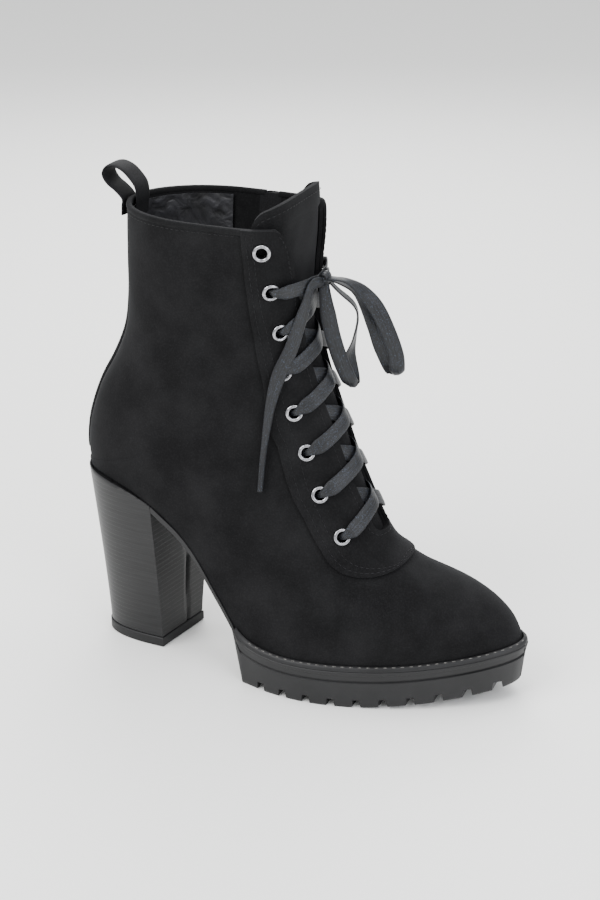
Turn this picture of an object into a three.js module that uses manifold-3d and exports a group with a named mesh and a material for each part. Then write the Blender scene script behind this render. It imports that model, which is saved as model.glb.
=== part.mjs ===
// Lace up ankle boot with a platform sole and a high block heel, right foot.
// Millimetres. +X points to the toe, +Y to the inner (medial) side, +Z up. It stands on its sole.
import * as THREE from 'three';
import { mergeVertices } from 'three/addons/utils/BufferGeometryUtils.js';
import Module from 'manifold-3d';

const wasm = await Module();
wasm.setup();

// Driving dimensions of the last
const LENGTH = 232;
const HALF_BALL = 39;
const SEAT_HEIGHT = 93;
const PLATFORM = 22;
const SHAFT = 145;

// Materials' thicknesses and clearances
const WALL = 1.8;
const GAP = 0.3;
const OVERLAY = 1.2;
const INSOLE = 2.5;

// Tongue: its thickness, its rise over the collar, and its half width and foot as shares of the last
const TONGUE_THICKNESS = 2.4;
const TONGUE_RISE = 11;
const TONGUE_SHOULDER = 0.5;
const TONGUE_EDGE = 0.36;
const TONGUE_FOOT = 0.73;

// Sole
const WAIST_SHEET = 3.3;
const SOLE_EDGE = 2.6;
const WAIST_EDGE = 0.6;
const SOLE_TAPER = 2;
const SIDE_GROOVE = 0.9;
const WELT_THICKNESS = 2.2;
const PLATFORM_BACK = 94;
const PLATFORM_FOOT = 100;
const TOE_SPRING = 9.8;
const SPRING_START = 0.65;
const LUG_FIRST = 111.5;
const LUG_PITCH = 12.55;
const LUG_COUNT = 10;
const LUG_NOTCH = 4.2;
const LUG_DEPTH = 4.5;

// Heel, with its breast set askew
const TOP_LIFT = 5.5;
const TOP_LIFT_EDGE = 0.5;
const HEEL_BREAST_TOP = 51;
const HEEL_BREAST_FOOT = 50.5;
const HEEL_BACK_TOP = 1.5;
const HEEL_BACK_FOOT = 9.5;
const HEEL_HALF_TOP = 27;
const HEEL_HALF_FOOT = 17;
const HEEL_SWING_FOOT = -3;
const HEEL_SLANT = 0.19;
const HEEL_FLARE = 1.25;
const HEEL_ROUND = 2.7;
const HEEL_POINTS = 12;

// Closures and trim
const EYELET_OUTER = 4.3;
const EYELET_BORE = 2.1;
const EYELET_BARREL = 2.8;
const EYELET_HOLE = 3.6;
const EYELET_RIM = 0.9;
const EYELET_CONE = 0.25;
const EYELET_FLARE = 0.4;
const LACE_WIDTH = 7.6;
const LACE_THICKNESS = 0.9;
const CORD_THICKNESS = 1.2;
const KNOT = 7.6;
const KNOT_DEPTH = 6.1;
const BACKSTAY_WIDTH = 8;
const LOOP_TAPE = 13;
const LOOP_THICKNESS = 2;
const ZIP_WIDTH = 6.5;
const SLIDER_LENGTH = 10;
const SLIDER_WIDTH = 8;
const SLIDER_THICKNESS = 2.6;
const SLIDER_DROP = 6;
const BRIDGE_WIDTH = 2;
const BRIDGE_SPACE = 2;
const BRIDGE_WALL = 1;
const PULL_LENGTH = 20;
const PULL_WIDTH = 7.6;
const PULL_THICKNESS = 1.4;
const PULL_PIN = 1.2;
const PULL_ARM = 0.9;
const PULL_NECK = 6.5;

// Sections of the last from the collar (first row) to the tip of the toe (last row).
// front and back are the ends of a section in the side view: x as a share of LENGTH, level 0 at the
// platform's top, 1 at the heel seat and 2 at the collar. foot and girth are half widths at the sole
// and at the widest place, lateral (l) and medial (m), and swing the shift sideways, as shares of
// HALF_BALL. widest is the share of the section that lies before its widest place.
const SECTION_COLUMNS = ['frontX', 'frontLevel', 'backX', 'backLevel', 'footL', 'footM',
  'girthL', 'girthM', 'widest', 'roundness', 'swing'];
const SECTIONS = [
  [0.522, 2, 0.127, 2, 0, 0, 0.859, 0.859, 0.5, 4.6, 0],
  [0.524, 1.917, 0.123, 1.897, 0, 0, 0.841, 0.841, 0.5, 4.1, 0],
  [0.526, 1.831, 0.121, 1.786, 0, 0, 0.821, 0.821, 0.5, 3.2, 0],
  [0.529, 1.748, 0.119, 1.669, 0, 0, 0.8, 0.8, 0.5, 2.6, 0],
  [0.534, 1.669, 0.108, 1.552, 0, 0, 0.785, 0.785, 0.5, 2.25, 0],
  [0.542, 1.6, 0.08, 1.441, 0, 0, 0.774, 0.774, 0.51, 2.1, 0],
  [0.552, 1.538, 0.041, 1.328, 0, 0, 0.769, 0.769, 0.52, 2.05, 0],
  [0.563, 1.486, 0.011, 1.2, 0, 0, 0.769, 0.764, 0.54, 2, 0],
  [0.575, 1.441, 0, 1.103, 0, 0, 0.769, 0.759, 0.56, 2, 0],
  [0.585, 1.4, 0.001, 1.038, 0, 0, 0.769, 0.759, 0.58, 2, 0],
  [0.596, 1.362, 0.007, 1.033, 0.192, 0.192, 0.769, 0.756, 0.6, 1.95, 0],
  [0.606, 1.321, 0.039, 1.028, 0.436, 0.436, 0.769, 0.756, 0.6, 1.9, 0],
  [0.617, 1.269, 0.091, 1.014, 0.572, 0.572, 0.774, 0.756, 0.6, 1.85, 0],
  [0.634, 1.197, 0.159, 0.962, 0.649, 0.641, 0.787, 0.756, 0.6, 1.8, -0.005],
  [0.653, 1.121, 0.233, 0.834, 0.692, 0.654, 0.8, 0.764, 0.6, 1.8, -0.013],
  [0.674, 1.045, 0.302, 0.634, 0.726, 0.667, 0.821, 0.777, 0.6, 1.8, -0.023],
  [0.694, 0.937, 0.371, 0.321, 0.79, 0.718, 0.859, 0.808, 0.62, 1.85, -0.028],
  [0.718, 0.814, 0.431, 0.063, 0.859, 0.803, 0.91, 0.862, 0.66, 1.95, -0.026],
  [0.749, 0.713, 0.509, 0, 0.974, 0.918, 0.99, 0.936, 0.7, 2.05, -0.013],
  [0.784, 0.624, 0.595, -0.006, 1.015, 0.954, 1.023, 0.964, 0.72, 2.1, 0.021],
  [0.823, 0.561, 0.69, 0.003, 0.954, 0.949, 0.962, 0.956, 0.72, 2.1, 0.072],
  [0.864, 0.507, 0.776, 0.018, 0.831, 0.862, 0.841, 0.872, 0.72, 2.1, 0.121],
  [0.904, 0.454, 0.849, 0.042, 0.672, 0.692, 0.685, 0.705, 0.7, 2.1, 0.162],
  [0.94, 0.385, 0.914, 0.07, 0.487, 0.503, 0.503, 0.518, 0.66, 2.1, 0.2],
  [0.97, 0.296, 0.961, 0.099, 0.313, 0.321, 0.328, 0.336, 0.6, 2.1, 0.228],
  [0.99, 0.201, 0.99, 0.115, 0.149, 0.154, 0.162, 0.167, 0.55, 2, 0.244],
  [0.997, 0.162, 1, 0.127, 0.021, 0.021, 0.026, 0.026, 0.5, 2, 0.251],
];
const LAST_ROW = SECTIONS.length - 1;
const SEAT_ROW = 9;
const CURVE_STEP = 0.02;

// Edges of the throat and of the eyestay, from the collar down: the level of the section's front and
// how far round the section each edge lies (0 at the front centre, 1 at the sole or the back seam).
const EDGE_COLUMNS = ['level', 'throat', 'outer'];
const EYESTAY_EDGES = [
  [2, 0.17, 0.412],
  [1.93, 0.12, 0.4],
  [1.8, 0.1, 0.352],
  [1.66, 0.1, 0.31],
  [1.5, 0.095, 0.27],
  [1.31, 0.098, 0.268],
  [1.13, 0.1, 0.305],
  [1.03, 0.092, 0.306],
  [0.97, 0.086, 0.297],
];
const THROAT_END = 0.885;
const EYESTAY_END = 0.69;

// Eyelets from the top: the level of the section's front and the place round the section
const EYELET_COLUMNS = ['level', 'around'];
const EYELETS = [
  [1.931, 0.31],
  [1.797, 0.25],
  [1.656, 0.21],
  [1.526, 0.21],
  [1.403, 0.2],
  [1.263, 0.21],
  [1.125, 0.23],
  [0.991, 0.22],
];
const FIRST_LACED = 1;

// The bow, from the knot outwards: forward, inner side and up in widths of the lace, and the turn of
// the lace's face in degrees (0 with its width across the view from the side, 90 along it)
const BOW_COLUMNS = ['forward', 'inward', 'up', 'turn'];
const BOW_LOOP_A = [
  [0.6, -0.15, 0.12, 90],
  [1.4, 0.1, 0, 75],
  [2.2, 0.45, -0.6, 45],
  [3.05, 0.85, -1.75, 15],
  [3.75, 1.1, -3.3, 0],
  [4.25, 1.35, -4.9, 0],
  [4.3, 1.5, -5.95, 0],
  [4.1, 1.95, -6.5, 0],
  [3.7, 2.1, -6.1, 0],
  [3.15, 1.75, -4.7, 0],
  [2.75, 1.45, -3.2, 15],
  [2.25, 1.1, -1.9, 45],
  [1.6, 0.75, -0.85, 75],
  [0.8, 0.45, -0.38, 90],
];
const BOW_LOOP_B = [
  [0.05, -0.25, -0.56, 0],
  [0.25, -0.2, -2.1, 0],
  [0.55, 0, -3.8, 0],
  [1, 0.2, -5.4, 0],
  [1.5, 0.5, -6.8, 0],
  [1.55, 0.95, -7.35, 0],
  [1.3, 1.3, -6.6, 15],
  [1.15, 1.35, -5.4, 45],
  [1.35, 1.5, -4.3, 75],
  [1.55, 1.6, -2.9, 90],
  [1.35, 1.4, -2, 90],
  [0.6, 0.8, -1.05, 90],
];

// The lace's free ends on both sides: level, place round the section and height over the last
const END_COLUMNS = ['level', 'around', 'out'];
const LACE_END = [
  [1.79, 0.045, 5.4],
  [1.74, 0.09, 4.8],
  [1.669, 0.144, 4.6],
  [1.596, 0.186, 4.4],
  [1.529, 0.228, 4.2],
  [1.461, 0.254, 4],
  [1.377, 0.275, 3.6],
  [1.279, 0.315, 3.2],
  [1.176, 0.368, 2.8],
];
const INNER_END_POINTS = 8;

// The zip on the medial side: x as a share of LENGTH at its top and at its foot, and its foot's level
const ZIP_TOP_X = 0.382;
const ZIP_FOOT_X = 0.339;
const ZIP_FOOT_LEVEL = 0.76;

const COLOURS = {
  suede: [0x1b1b1c, 0.95, 0],
  lining: [0x151516, 0.98, 0],
  rubber: [0x343535, 0.6, 0],
  heel: [0x3b3c3e, 0.35, 0],
  lace: [0x2a2a2d, 0.5, 0],
  nickel: [0xb9babd, 0.25, 1],
  zip: [0x121213, 0.5, 0],
};

const lerp = (a, b, f) => a + (b - a) * f;
const clamp = (v, low, high) => Math.min(Math.max(v, low), high);
const levelToZ = (level) => (level <= 1
  ? lerp(PLATFORM, SEAT_HEIGHT, level)
  : SEAT_HEIGHT + SHAFT * (level - 1));

// The sections' rows in millimetres, levels as heights
const inMillimetres = {
  frontX: (v) => v * LENGTH,
  frontLevel: levelToZ,
  backX: (v) => v * LENGTH,
  backLevel: levelToZ,
  footL: (v) => v * HALF_BALL,
  footM: (v) => v * HALF_BALL,
  girthL: (v) => v * HALF_BALL,
  girthM: (v) => v * HALF_BALL,
  widest: (v) => v,
  roundness: (v) => v,
  swing: (v) => v * HALF_BALL,
};
const SIZED_ROWS = SECTIONS.map((row) => row.map((v, k) => inMillimetres[SECTION_COLUMNS[k]](v)));

function toSection(row) {
  const [frontX, frontZ, backX, backZ, footL, footM, girthL, girthM, widest, roundness, swing] = row;
  return { frontX, frontZ, backX, backZ, footL, footM, girthL, girthM, widest, roundness, swing };
}

// A section at any station: stations are row numbers, and below 0 the shaft is carried on straight.
function sectionRow(station) {
  const rows = SIZED_ROWS;
  if (station < 0) {
    return toSection(rows[0].map((v, k) => v + (rows[1][k] - v) * station));
  }
  const i = clamp(Math.floor(station), 0, LAST_ROW - 1);
  const f = station - i;
  const before = rows[Math.max(i - 1, 0)];
  const after = rows[Math.min(i + 2, LAST_ROW)];
  return toSection(rows[i].map((v, k) => {
    const next = rows[i + 1][k];
    const slopeIn = (next - before[k]) / 2;
    const slopeOut = (after[k] - v) / 2;
    return (2 * f ** 3 - 3 * f ** 2 + 1) * v + (f ** 3 - 2 * f ** 2 + f) * slopeIn
      + (3 * f ** 2 - 2 * f ** 3) * next + (f ** 3 - f ** 2) * slopeOut;
  }));
}

// The section in millimetres, for one side, grown outwards by a distance (inwards below 0)
function sizedSection(station, side, grow) {
  const read = (at) => {
    const s = sectionRow(at);
    return {
      front: [s.frontX, s.frontZ],
      back: [s.backX, s.backZ],
      foot: side < 0 ? s.footL : s.footM,
      girth: side < 0 ? s.girthL : s.girthM,
      widest: s.widest,
      roundness: s.roundness,
      swing: s.swing,
    };
  };
  const here = read(station);
  const up = read(station - CURVE_STEP);
  const down = read(Math.min(station + CURVE_STEP, LAST_ROW));
  const unit = (x, y) => {
    const size = Math.hypot(x, y) || 1;
    return [x / size, y / size];
  };
  const along = unit(down.front[0] - up.front[0], down.front[1] - up.front[1]);
  const front = [here.front[0] - along[1] * grow, here.front[1] + along[0] * grow];
  const back = [...here.back];
  let foot = 0;
  if (station <= SEAT_ROW) {
    const rear = unit(down.back[0] - up.back[0], down.back[1] - up.back[1]);
    back[0] += rear[1] * grow;
    back[1] -= station < SEAT_ROW ? rear[0] * grow : 0;
  } else {
    const outline = unit(down.back[0] - up.back[0], down.foot - up.foot);
    back[0] -= outline[1] * grow;
    foot = Math.max(here.foot + outline[0] * grow, 0);
  }
  const middle = (s) => [(s.front[0] + s.back[0]) / 2, (s.front[1] + s.back[1]) / 2];
  const travel = Math.hypot(middle(down)[0] - middle(up)[0], middle(down)[1] - middle(up)[1]);
  const sideways = travel / Math.hypot(travel, down.girth - up.girth);
  return { ...here, front, back, foot, girth: Math.max(here.girth + sideways * grow, foot) };
}

// A point of the last's surface: around runs from -1 (lateral sole or back seam) over 0 (front
// centre) to 1 (medial). A superellipse lies before the widest place, an ellipse behind it.
function surfacePoint(station, around, grow = 0) {
  const side = around < 0 ? -1 : 1;
  const s = sizedSection(station, side, grow);
  const share = Math.abs(around);
  let depth;
  let width;
  if (share <= 0.5) {
    const angle = share * Math.PI;
    depth = s.widest * (1 - Math.max(Math.cos(angle), 0) ** (2 / s.roundness));
    width = s.girth * Math.sin(angle) ** (2 / s.roundness);
  } else {
    const tuck = Math.sqrt(Math.max(1 - (s.foot / s.girth) ** 2, 1e-9));
    const angle = (share - 0.5) * 2 * Math.asin(tuck);
    depth = s.widest + (1 - s.widest) * Math.sin(angle) / tuck;
    width = s.girth * Math.cos(angle);
  }
  return new THREE.Vector3(
    lerp(s.front[0], s.back[0], depth),
    s.swing + side * width,
    lerp(s.front[1], s.back[1], depth),
  );
}

// The station where a falling measure of the last reaches a value
function findStation(measure, value, low, high) {
  for (let k = 0; k < 40; k += 1) {
    const middle = (low + high) / 2;
    if (measure(middle) > value) low = middle;
    else high = middle;
  }
  return (low + high) / 2;
}
const stationAtLevel = (level) => findStation((t) => sectionRow(t).frontZ, levelToZ(level), -3, LAST_ROW);
const stationAtSole = (x) => findStation((t) => -sectionRow(t).backX, -x, SEAT_ROW, LAST_ROW);

// Surface frame: the point, the outward normal and the direction down the station lines
function surfaceFrame(station, around, grow) {
  const point = surfacePoint(station, around, grow);
  const down = surfacePoint(station + CURVE_STEP, around, grow).sub(point).normalize();
  const across = surfacePoint(station, around + CURVE_STEP, grow).sub(point).normalize();
  const normal = new THREE.Vector3().crossVectors(down, across).normalize();
  return { point, down, normal };
}

// Closed meshes from points and faces
function solidGeometry(points, faces) {
  const geometry = new THREE.BufferGeometry();
  const numbers = points.flatMap((p) => [p.x, p.y, p.z]);
  geometry.setAttribute('position', new THREE.Float32BufferAttribute(numbers, 3));
  geometry.setIndex(faces.flat());
  const merged = mergeVertices(geometry, 1e-4);
  const index = Array.from(merged.index.array);
  const kept = [];
  for (let k = 0; k < index.length; k += 3) {
    const [a, b, c] = index.slice(k, k + 3);
    if (a !== b && b !== c && a !== c) kept.push([a, b, c]);
  }
  const at = (i) => new THREE.Vector3().fromBufferAttribute(merged.attributes.position, i);
  const volume = kept.reduce((sum, [a, b, c]) => sum + at(a).dot(at(b).cross(at(c))), 0);
  merged.setIndex(kept.flatMap(([a, b, c]) => (volume < 0 ? [a, c, b] : [a, b, c])));
  return merged;
}

// A wall between two grids of points of the same rows and columns. Where the first and last columns
// of the outer grid meet, as at the back seam, the wall is closed there without an edge.
function wallGeometry(outer, inner) {
  const rows = outer.length;
  const columns = outer[0].length;
  const points = [...outer.flat(), ...inner.flat()];
  const faces = [];
  const id = (layer, i, j) => layer * rows * columns + i * columns + j;
  const quad = (a, b, c, d) => faces.push([a, b, c], [a, c, d]);
  for (let i = 0; i < rows - 1; i += 1) {
    for (let j = 0; j < columns - 1; j += 1) {
      quad(id(0, i, j), id(0, i + 1, j), id(0, i + 1, j + 1), id(0, i, j + 1));
      quad(id(1, i, j), id(1, i, j + 1), id(1, i + 1, j + 1), id(1, i + 1, j));
    }
  }
  for (let j = 0; j < columns - 1; j += 1) {
    quad(id(0, 0, j), id(0, 0, j + 1), id(1, 0, j + 1), id(1, 0, j));
    quad(id(0, rows - 1, j + 1), id(0, rows - 1, j), id(1, rows - 1, j), id(1, rows - 1, j + 1));
  }
  const closed = (i) => outer[i][0].distanceTo(outer[i][columns - 1]) < 1e-3;
  for (let i = 0; i < rows - 1; i += 1) {
    if (closed(i) && closed(i + 1)) continue;
    quad(id(0, i + 1, 0), id(0, i, 0), id(1, i, 0), id(1, i + 1, 0));
    const j = columns - 1;
    quad(id(0, i, j), id(0, i + 1, j), id(1, i + 1, j), id(1, i, j));
  }
  return solidGeometry(points, faces);
}

// A solid through closed rings of the same number of points, with flat or curved ends
function ringGeometry(rings) {
  const count = rings[0].length;
  const points = rings.flat();
  const faces = [];
  for (let i = 0; i < rings.length - 1; i += 1) {
    for (let j = 0; j < count; j += 1) {
      const k = (j + 1) % count;
      const a = i * count;
      faces.push([a + j, a + k, a + count + k], [a + j, a + count + k, a + count + j]);
    }
  }
  for (const [base, flip] of [[0, true], [(rings.length - 1) * count, false]]) {
    for (let j = 0; j < count / 2 - 1; j += 1) {
      const left = base + j;
      const right = base + count - 1 - j;
      const cap = [[left, left + 1, right - 1], [left, right - 1, right]];
      faces.push(...cap.map((f) => (flip ? [f[0], f[2], f[1]] : f)));
    }
  }
  return solidGeometry(points, faces);
}

function toSolid(geometry) {
  const bare = geometry.clone();
  bare.deleteAttribute('normal');
  bare.deleteAttribute('uv');
  const merged = mergeVertices(bare, 1e-4);
  return new wasm.Manifold(new wasm.Mesh({
    numProp: 3,
    vertProperties: new Float32Array(merged.attributes.position.array),
    triVerts: new Uint32Array(merged.index.array),
  }));
}

function toGeometry(solid) {
  const mesh = solid.getMesh();
  const geometry = new THREE.BufferGeometry();
  const numbers = new Float32Array(mesh.vertProperties);
  geometry.setAttribute('position', new THREE.BufferAttribute(numbers, 3));
  geometry.setIndex(new THREE.BufferAttribute(new Uint32Array(mesh.triVerts), 1));
  return geometry;
}

const cut = (solid, tools) => tools.reduce((rest, tool) => rest.subtract(tool), solid);
const join = (solids) => solids.slice(1).reduce((all, one) => all.add(one), solids[0]);

const boot = new THREE.Group();
const cords = [];
function addPiece(name, geometry, colour, parent = boot) {
  const [hex, roughness, metalness] = COLOURS[colour];
  const shown = geometry.toNonIndexed();
  shown.computeVertexNormals();
  const material = new THREE.MeshStandardMaterial({ color: hex, roughness, metalness });
  const mesh = new THREE.Mesh(shown, material);
  mesh.name = name;
  parent.add(mesh);
  return mesh;
}

// Shells of the upper's own function share these stations and columns, so their facets run alike.
const PLATFORM_MIDDLE = (PLATFORM_BACK + PLATFORM_FOOT) / 2;
const BACK_FACE = [PLATFORM_BACK, PLATFORM_MIDDLE, PLATFORM_FOOT].map(stationAtSole);
const byNumber = (a, b) => a - b;
const UPPER_STATIONS = [...SECTIONS.keys()];
const SIDE_COLUMNS = 9;
const COLUMNS = Array.from({ length: 2 * SIDE_COLUMNS + 1 }, (_, k) => k / SIDE_COLUMNS - 1);
const shellGrid = (stations, grow) => stations.map((t) => COLUMNS.map((a) => surfacePoint(t, a, grow)));
const shell = (stations, outer, inner) => toSolid(
  wallGeometry(shellGrid(stations, outer), shellGrid(stations, inner)),
);

// A cutting block that follows the surface: place(i, j) gives the station and the place round it
const CUT_OUT = 6;
const CUT_IN = -9;
function surfaceBlock(rows, columns, place, out = CUT_OUT, into = CUT_IN) {
  const grid = (grow) => Array.from({ length: rows }, (_, i) => Array.from(
    { length: columns },
    (__, j) => surfacePoint(...place(i / (rows - 1), j / (columns - 1)), grow),
  ));
  return toSolid(wallGeometry(grid(out), grid(into)));
}

// Throat and eyestay edges, as functions of the level
function edgeAt(level, column) {
  const k = EDGE_COLUMNS.indexOf(column);
  const rows = EYESTAY_EDGES;
  const i = clamp(rows.findIndex((row) => row[0] <= level) - 1, 0, rows.length - 2);
  const f = (rows[i][0] - level) / (rows[i][0] - rows[i + 1][0]);
  return lerp(rows[i][k], rows[i + 1][k], clamp(f, -1, 1));
}
const ARC_LEVEL = EYESTAY_EDGES[EYESTAY_EDGES.length - 1][0];
const ABOVE_COLLAR = 2.1;
const STRAIGHT_SHARE = 0.72;
const END_ROUND = 0.8;

// One point of an edge: progress 0 above the collar, 1 on the centre line at the edge's round end
function edgePoint(progress, column, end) {
  if (progress < STRAIGHT_SHARE) {
    const level = lerp(ABOVE_COLLAR, ARC_LEVEL, progress / STRAIGHT_SHARE);
    return [stationAtLevel(level), edgeAt(level, column)];
  }
  const angle = (progress - STRAIGHT_SHARE) / (1 - STRAIGHT_SHARE) * Math.PI / 2;
  const level = lerp(ARC_LEVEL, end, Math.sin(angle));
  return [stationAtLevel(level), edgeAt(ARC_LEVEL, column) * Math.max(Math.cos(angle), 0) ** END_ROUND];
}

function throatBlock() {
  const place = (i, j) => {
    const [station, half] = edgePoint(i, 'throat', THROAT_END);
    return [station, lerp(-half, half, j)];
  };
  return surfaceBlock(15, 2, place);
}

function eyestayBlock() {
  const place = (i, j) => {
    const progress = 1 - Math.abs(2 * i - 1);
    const side = i < 0.5 ? -1 : 1;
    const inner = edgePoint(progress, 'throat', THROAT_END);
    const outer = edgePoint(progress, 'outer', EYESTAY_END);
    return [lerp(outer[0], inner[0], j), side * lerp(outer[1], inner[1], j)];
  };
  return surfaceBlock(27, 2, place);
}

// Eyelets and their holes
const eyeletPlaces = [-1, 1].flatMap((side) => EYELETS.map(([level, around], k) => ({
  name: `eyelet_${side < 0 ? 'lateral' : 'medial'}_${k + 1}`,
  number: k,
  side,
  ...surfaceFrame(stationAtLevel(level), side * around, GAP + OVERLAY),
})));
const UP = new THREE.Vector3(0, 1, 0);

function eyeletHole({ point, normal }) {
  const hole = new THREE.CylinderGeometry(EYELET_HOLE, EYELET_HOLE, 16, 6);
  hole.applyQuaternion(new THREE.Quaternion().setFromUnitVectors(UP, normal));
  hole.translate(...point.toArray());
  return toSolid(hole);
}

function eyeletGeometry() {
  const foot = GAP - (OVERLAY + WALL);
  const seat = 2 * GAP;
  const profile = [
    [EYELET_BORE, foot + EYELET_CONE], [EYELET_BARREL, foot],
    [EYELET_BARREL, seat + EYELET_CONE], [EYELET_OUTER, seat],
    [EYELET_BORE + EYELET_FLARE, seat + EYELET_RIM], [EYELET_BORE, foot + EYELET_CONE],
  ];
  const lathe = new THREE.LatheGeometry(profile.map(([r, h]) => new THREE.Vector2(r, h)), 8);
  return toGeometry(toSolid(lathe));
}

// The zip's line down the medial side
function zipX(z) {
  const foot = levelToZ(ZIP_FOOT_LEVEL);
  return lerp(ZIP_FOOT_X, ZIP_TOP_X, (z - foot) / (levelToZ(2) - foot)) * LENGTH;
}

// A prism across the medial wall: the strip between the zip's line moved by half a width each way
function zipBlock(width, footDrop) {
  const half = width / 2;
  const top = levelToZ(ABOVE_COLLAR);
  const foot = levelToZ(ZIP_FOOT_LEVEL) - footDrop;
  const outline = new THREE.Shape([
    new THREE.Vector2(zipX(top) - half, top), new THREE.Vector2(zipX(foot) - half, foot),
    new THREE.Vector2(zipX(foot) + half, foot), new THREE.Vector2(zipX(top) + half, top),
  ]);
  const prism = new THREE.ExtrudeGeometry(outline, { depth: 2 * HALF_BALL, bevelEnabled: false });
  prism.rotateX(Math.PI / 2);
  prism.translate(0, 2 * HALF_BALL + WALL, 0);
  return toSolid(prism);
}

// A strip round the back seam, as wide as asked
function backBlock(width) {
  const line = [-1, 0, 2, 4, 5, 6, 7, 8, 8.6].map((t) => sectionRow(Math.min(t, SEAT_ROW)));
  const edge = (grow) => line.map((s) => new THREE.Vector2(s.backX + grow, s.backZ));
  const outline = new THREE.Shape([...edge(-CUT_OUT), ...edge(CUT_OUT).reverse()]);
  const prism = new THREE.ExtrudeGeometry(outline, { depth: width, bevelEnabled: false });
  prism.rotateX(Math.PI / 2);
  prism.translate(0, width / 2, 0);
  return toSolid(prism);
}

function addUpper() {
  const holes = eyeletPlaces.map(eyeletHole);
  const throat = throatBlock();
  const full = shell(UPPER_STATIONS, 0, -WALL);
  addPiece('upper', toGeometry(cut(full, [throat, zipBlock(ZIP_WIDTH + 2 * GAP, GAP), ...holes])), 'suede');

  const overlay = shell(UPPER_STATIONS.filter((t) => t < 21), GAP + OVERLAY, GAP);
  addPiece('eyestay', toGeometry(cut(overlay.intersect(eyestayBlock()), [throat, ...holes])), 'suede');
  addPiece('backstay', toGeometry(overlay.intersect(backBlock(BACKSTAY_WIDTH))), 'suede');

  const chain = shell(UPPER_STATIONS.filter((t) => t < 21), 0, -WALL).intersect(zipBlock(ZIP_WIDTH, 0));
  addPiece('zip_chain', toGeometry(chain), 'zip');
}

// A point on the shell's facets, which lies between two of its columns
function facetPoint(station, around, grow) {
  const place = (around + 1) * SIDE_COLUMNS;
  const i = clamp(Math.floor(place), 0, 2 * SIDE_COLUMNS - 1);
  const from = surfacePoint(station, COLUMNS[i], grow);
  return from.lerp(surfacePoint(station, COLUMNS[i + 1], grow), place - i);
}

// Tongue: a strip of the shell inside the upper, with an arched top above the collar
function addTongue() {
  const inside = COLUMNS.filter((a) => Math.abs(a) < TONGUE_EDGE);
  const columns = [-TONGUE_EDGE, ...inside, TONGUE_EDGE];
  const below = UPPER_STATIONS.filter((t) => t > 0 && t < stationAtLevel(TONGUE_FOOT));
  const grid = (grow) => {
    const top = columns.map((a) => {
      const rise = TONGUE_RISE * (1 - TONGUE_SHOULDER * (a / TONGUE_EDGE) ** 2);
      return facetPoint(stationAtLevel(2 + rise / SHAFT), a, grow);
    });
    return [top, ...[0, ...below].map((t) => columns.map((a) => facetPoint(t, a, grow)))];
  };
  const outer = -(WALL + GAP);
  addPiece('tongue', wallGeometry(grid(outer), grid(outer - TONGUE_THICKNESS)), 'suede');
}

// Points of the sole's outline: a station, a side and an outset from the upper's feather line
function solePoint(station, side, outset, z) {
  const s = sizedSection(station, side, outset);
  return new THREE.Vector3(s.back[0], s.swing + side * s.foot, z);
}

// Height of the sole's bed: the upper's lower edge runs straight from one of its stations to the next
function bedHeight(station) {
  const i = Math.min(UPPER_STATIONS.findLastIndex((t) => t <= station), UPPER_STATIONS.length - 2);
  const [a, b] = [UPPER_STATIONS[i], UPPER_STATIONS[i + 1]].map(sectionRow);
  const share = (sectionRow(station).backX - a.backX) / (b.backX - a.backX);
  return lerp(a.backZ, b.backZ, share);
}
const SOLE_STATIONS = [...UPPER_STATIONS.filter((t) => t > SEAT_ROW), ...BACK_FACE]
  .sort(byNumber)
  .filter((t, k, all) => k === 0 || t - all[k - 1] > 0.08);

// Insole: it lies on the sole inside the upper's foot, and its edge is skived
function addInsole() {
  const inset = -(WALL + 2 * GAP);
  const layer = (skive, rise) => SOLE_STATIONS.map((t) => {
    const [a, b] = [-1, 1].map((side) => solePoint(t, side, inset - skive, bedHeight(t) + rise));
    return [a, a.clone().lerp(b, 0.5), b];
  });
  addPiece('insole', wallGeometry(layer(INSOLE, INSOLE), layer(0, 0)), 'lining');
}

// The underside: a thin sheet at the waist, the platform's sloping back face, then the toe spring
function treadHeight(x, bed) {
  const sheet = bed - GAP - WAIST_SHEET;
  if (x < PLATFORM_BACK) return sheet;
  const fall = clamp((x - PLATFORM_BACK) / (PLATFORM_FOOT - PLATFORM_BACK), 0, 1);
  const spring = clamp((x / LENGTH - SPRING_START) / (1 - SPRING_START), 0, 1.1);
  return sheet * (1 - fall ** 1.3) + TOE_SPRING * spring ** 1.6;
}

// Steps of the platform's side, from its top: outset in SIDE_GROOVE depths, place as a share of height
const SIDE_STEPS = [[0, 0], [0, 0.24], [-1, 0.27], [-1, 0.31], [0, 0.34], [0, 1]];

function addOutsole() {
  const breast = [-1, 1].map((side) => (
    stationAtSole(HEEL_BREAST_TOP + side * HEEL_SLANT * HEEL_HALF_TOP + 2 * GAP)));
  const stations = SOLE_STATIONS.filter((t) => t > breast[1] + 0.2).map((t) => [t, t]);
  const rings = [breast, ...stations].map(([lateral, medial]) => {
    const side = (t, s) => {
      const top = bedHeight(t) - GAP;
      const foot = treadHeight(sectionRow(t).backX, bedHeight(t));
      const full = clamp((top - foot - WAIST_SHEET) / (PLATFORM - 2 * WAIST_SHEET), 0, 1);
      return SIDE_STEPS.map(([step, share]) => {
        const wall = lerp(WAIST_EDGE, SOLE_EDGE - SOLE_TAPER * share, full);
        return solePoint(t, s, wall + step * SIDE_GROOVE * full, lerp(top, foot, share));
      });
    };
    return [...side(lateral, -1), ...side(medial, 1).reverse()];
  });
  const body = toSolid(ringGeometry(rings));
  const notches = Array.from({ length: LUG_COUNT }, (_, k) => lugNotch(LUG_FIRST + k * LUG_PITCH));
  addPiece('outsole', toGeometry(cut(body, notches)), 'rubber');
}

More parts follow.
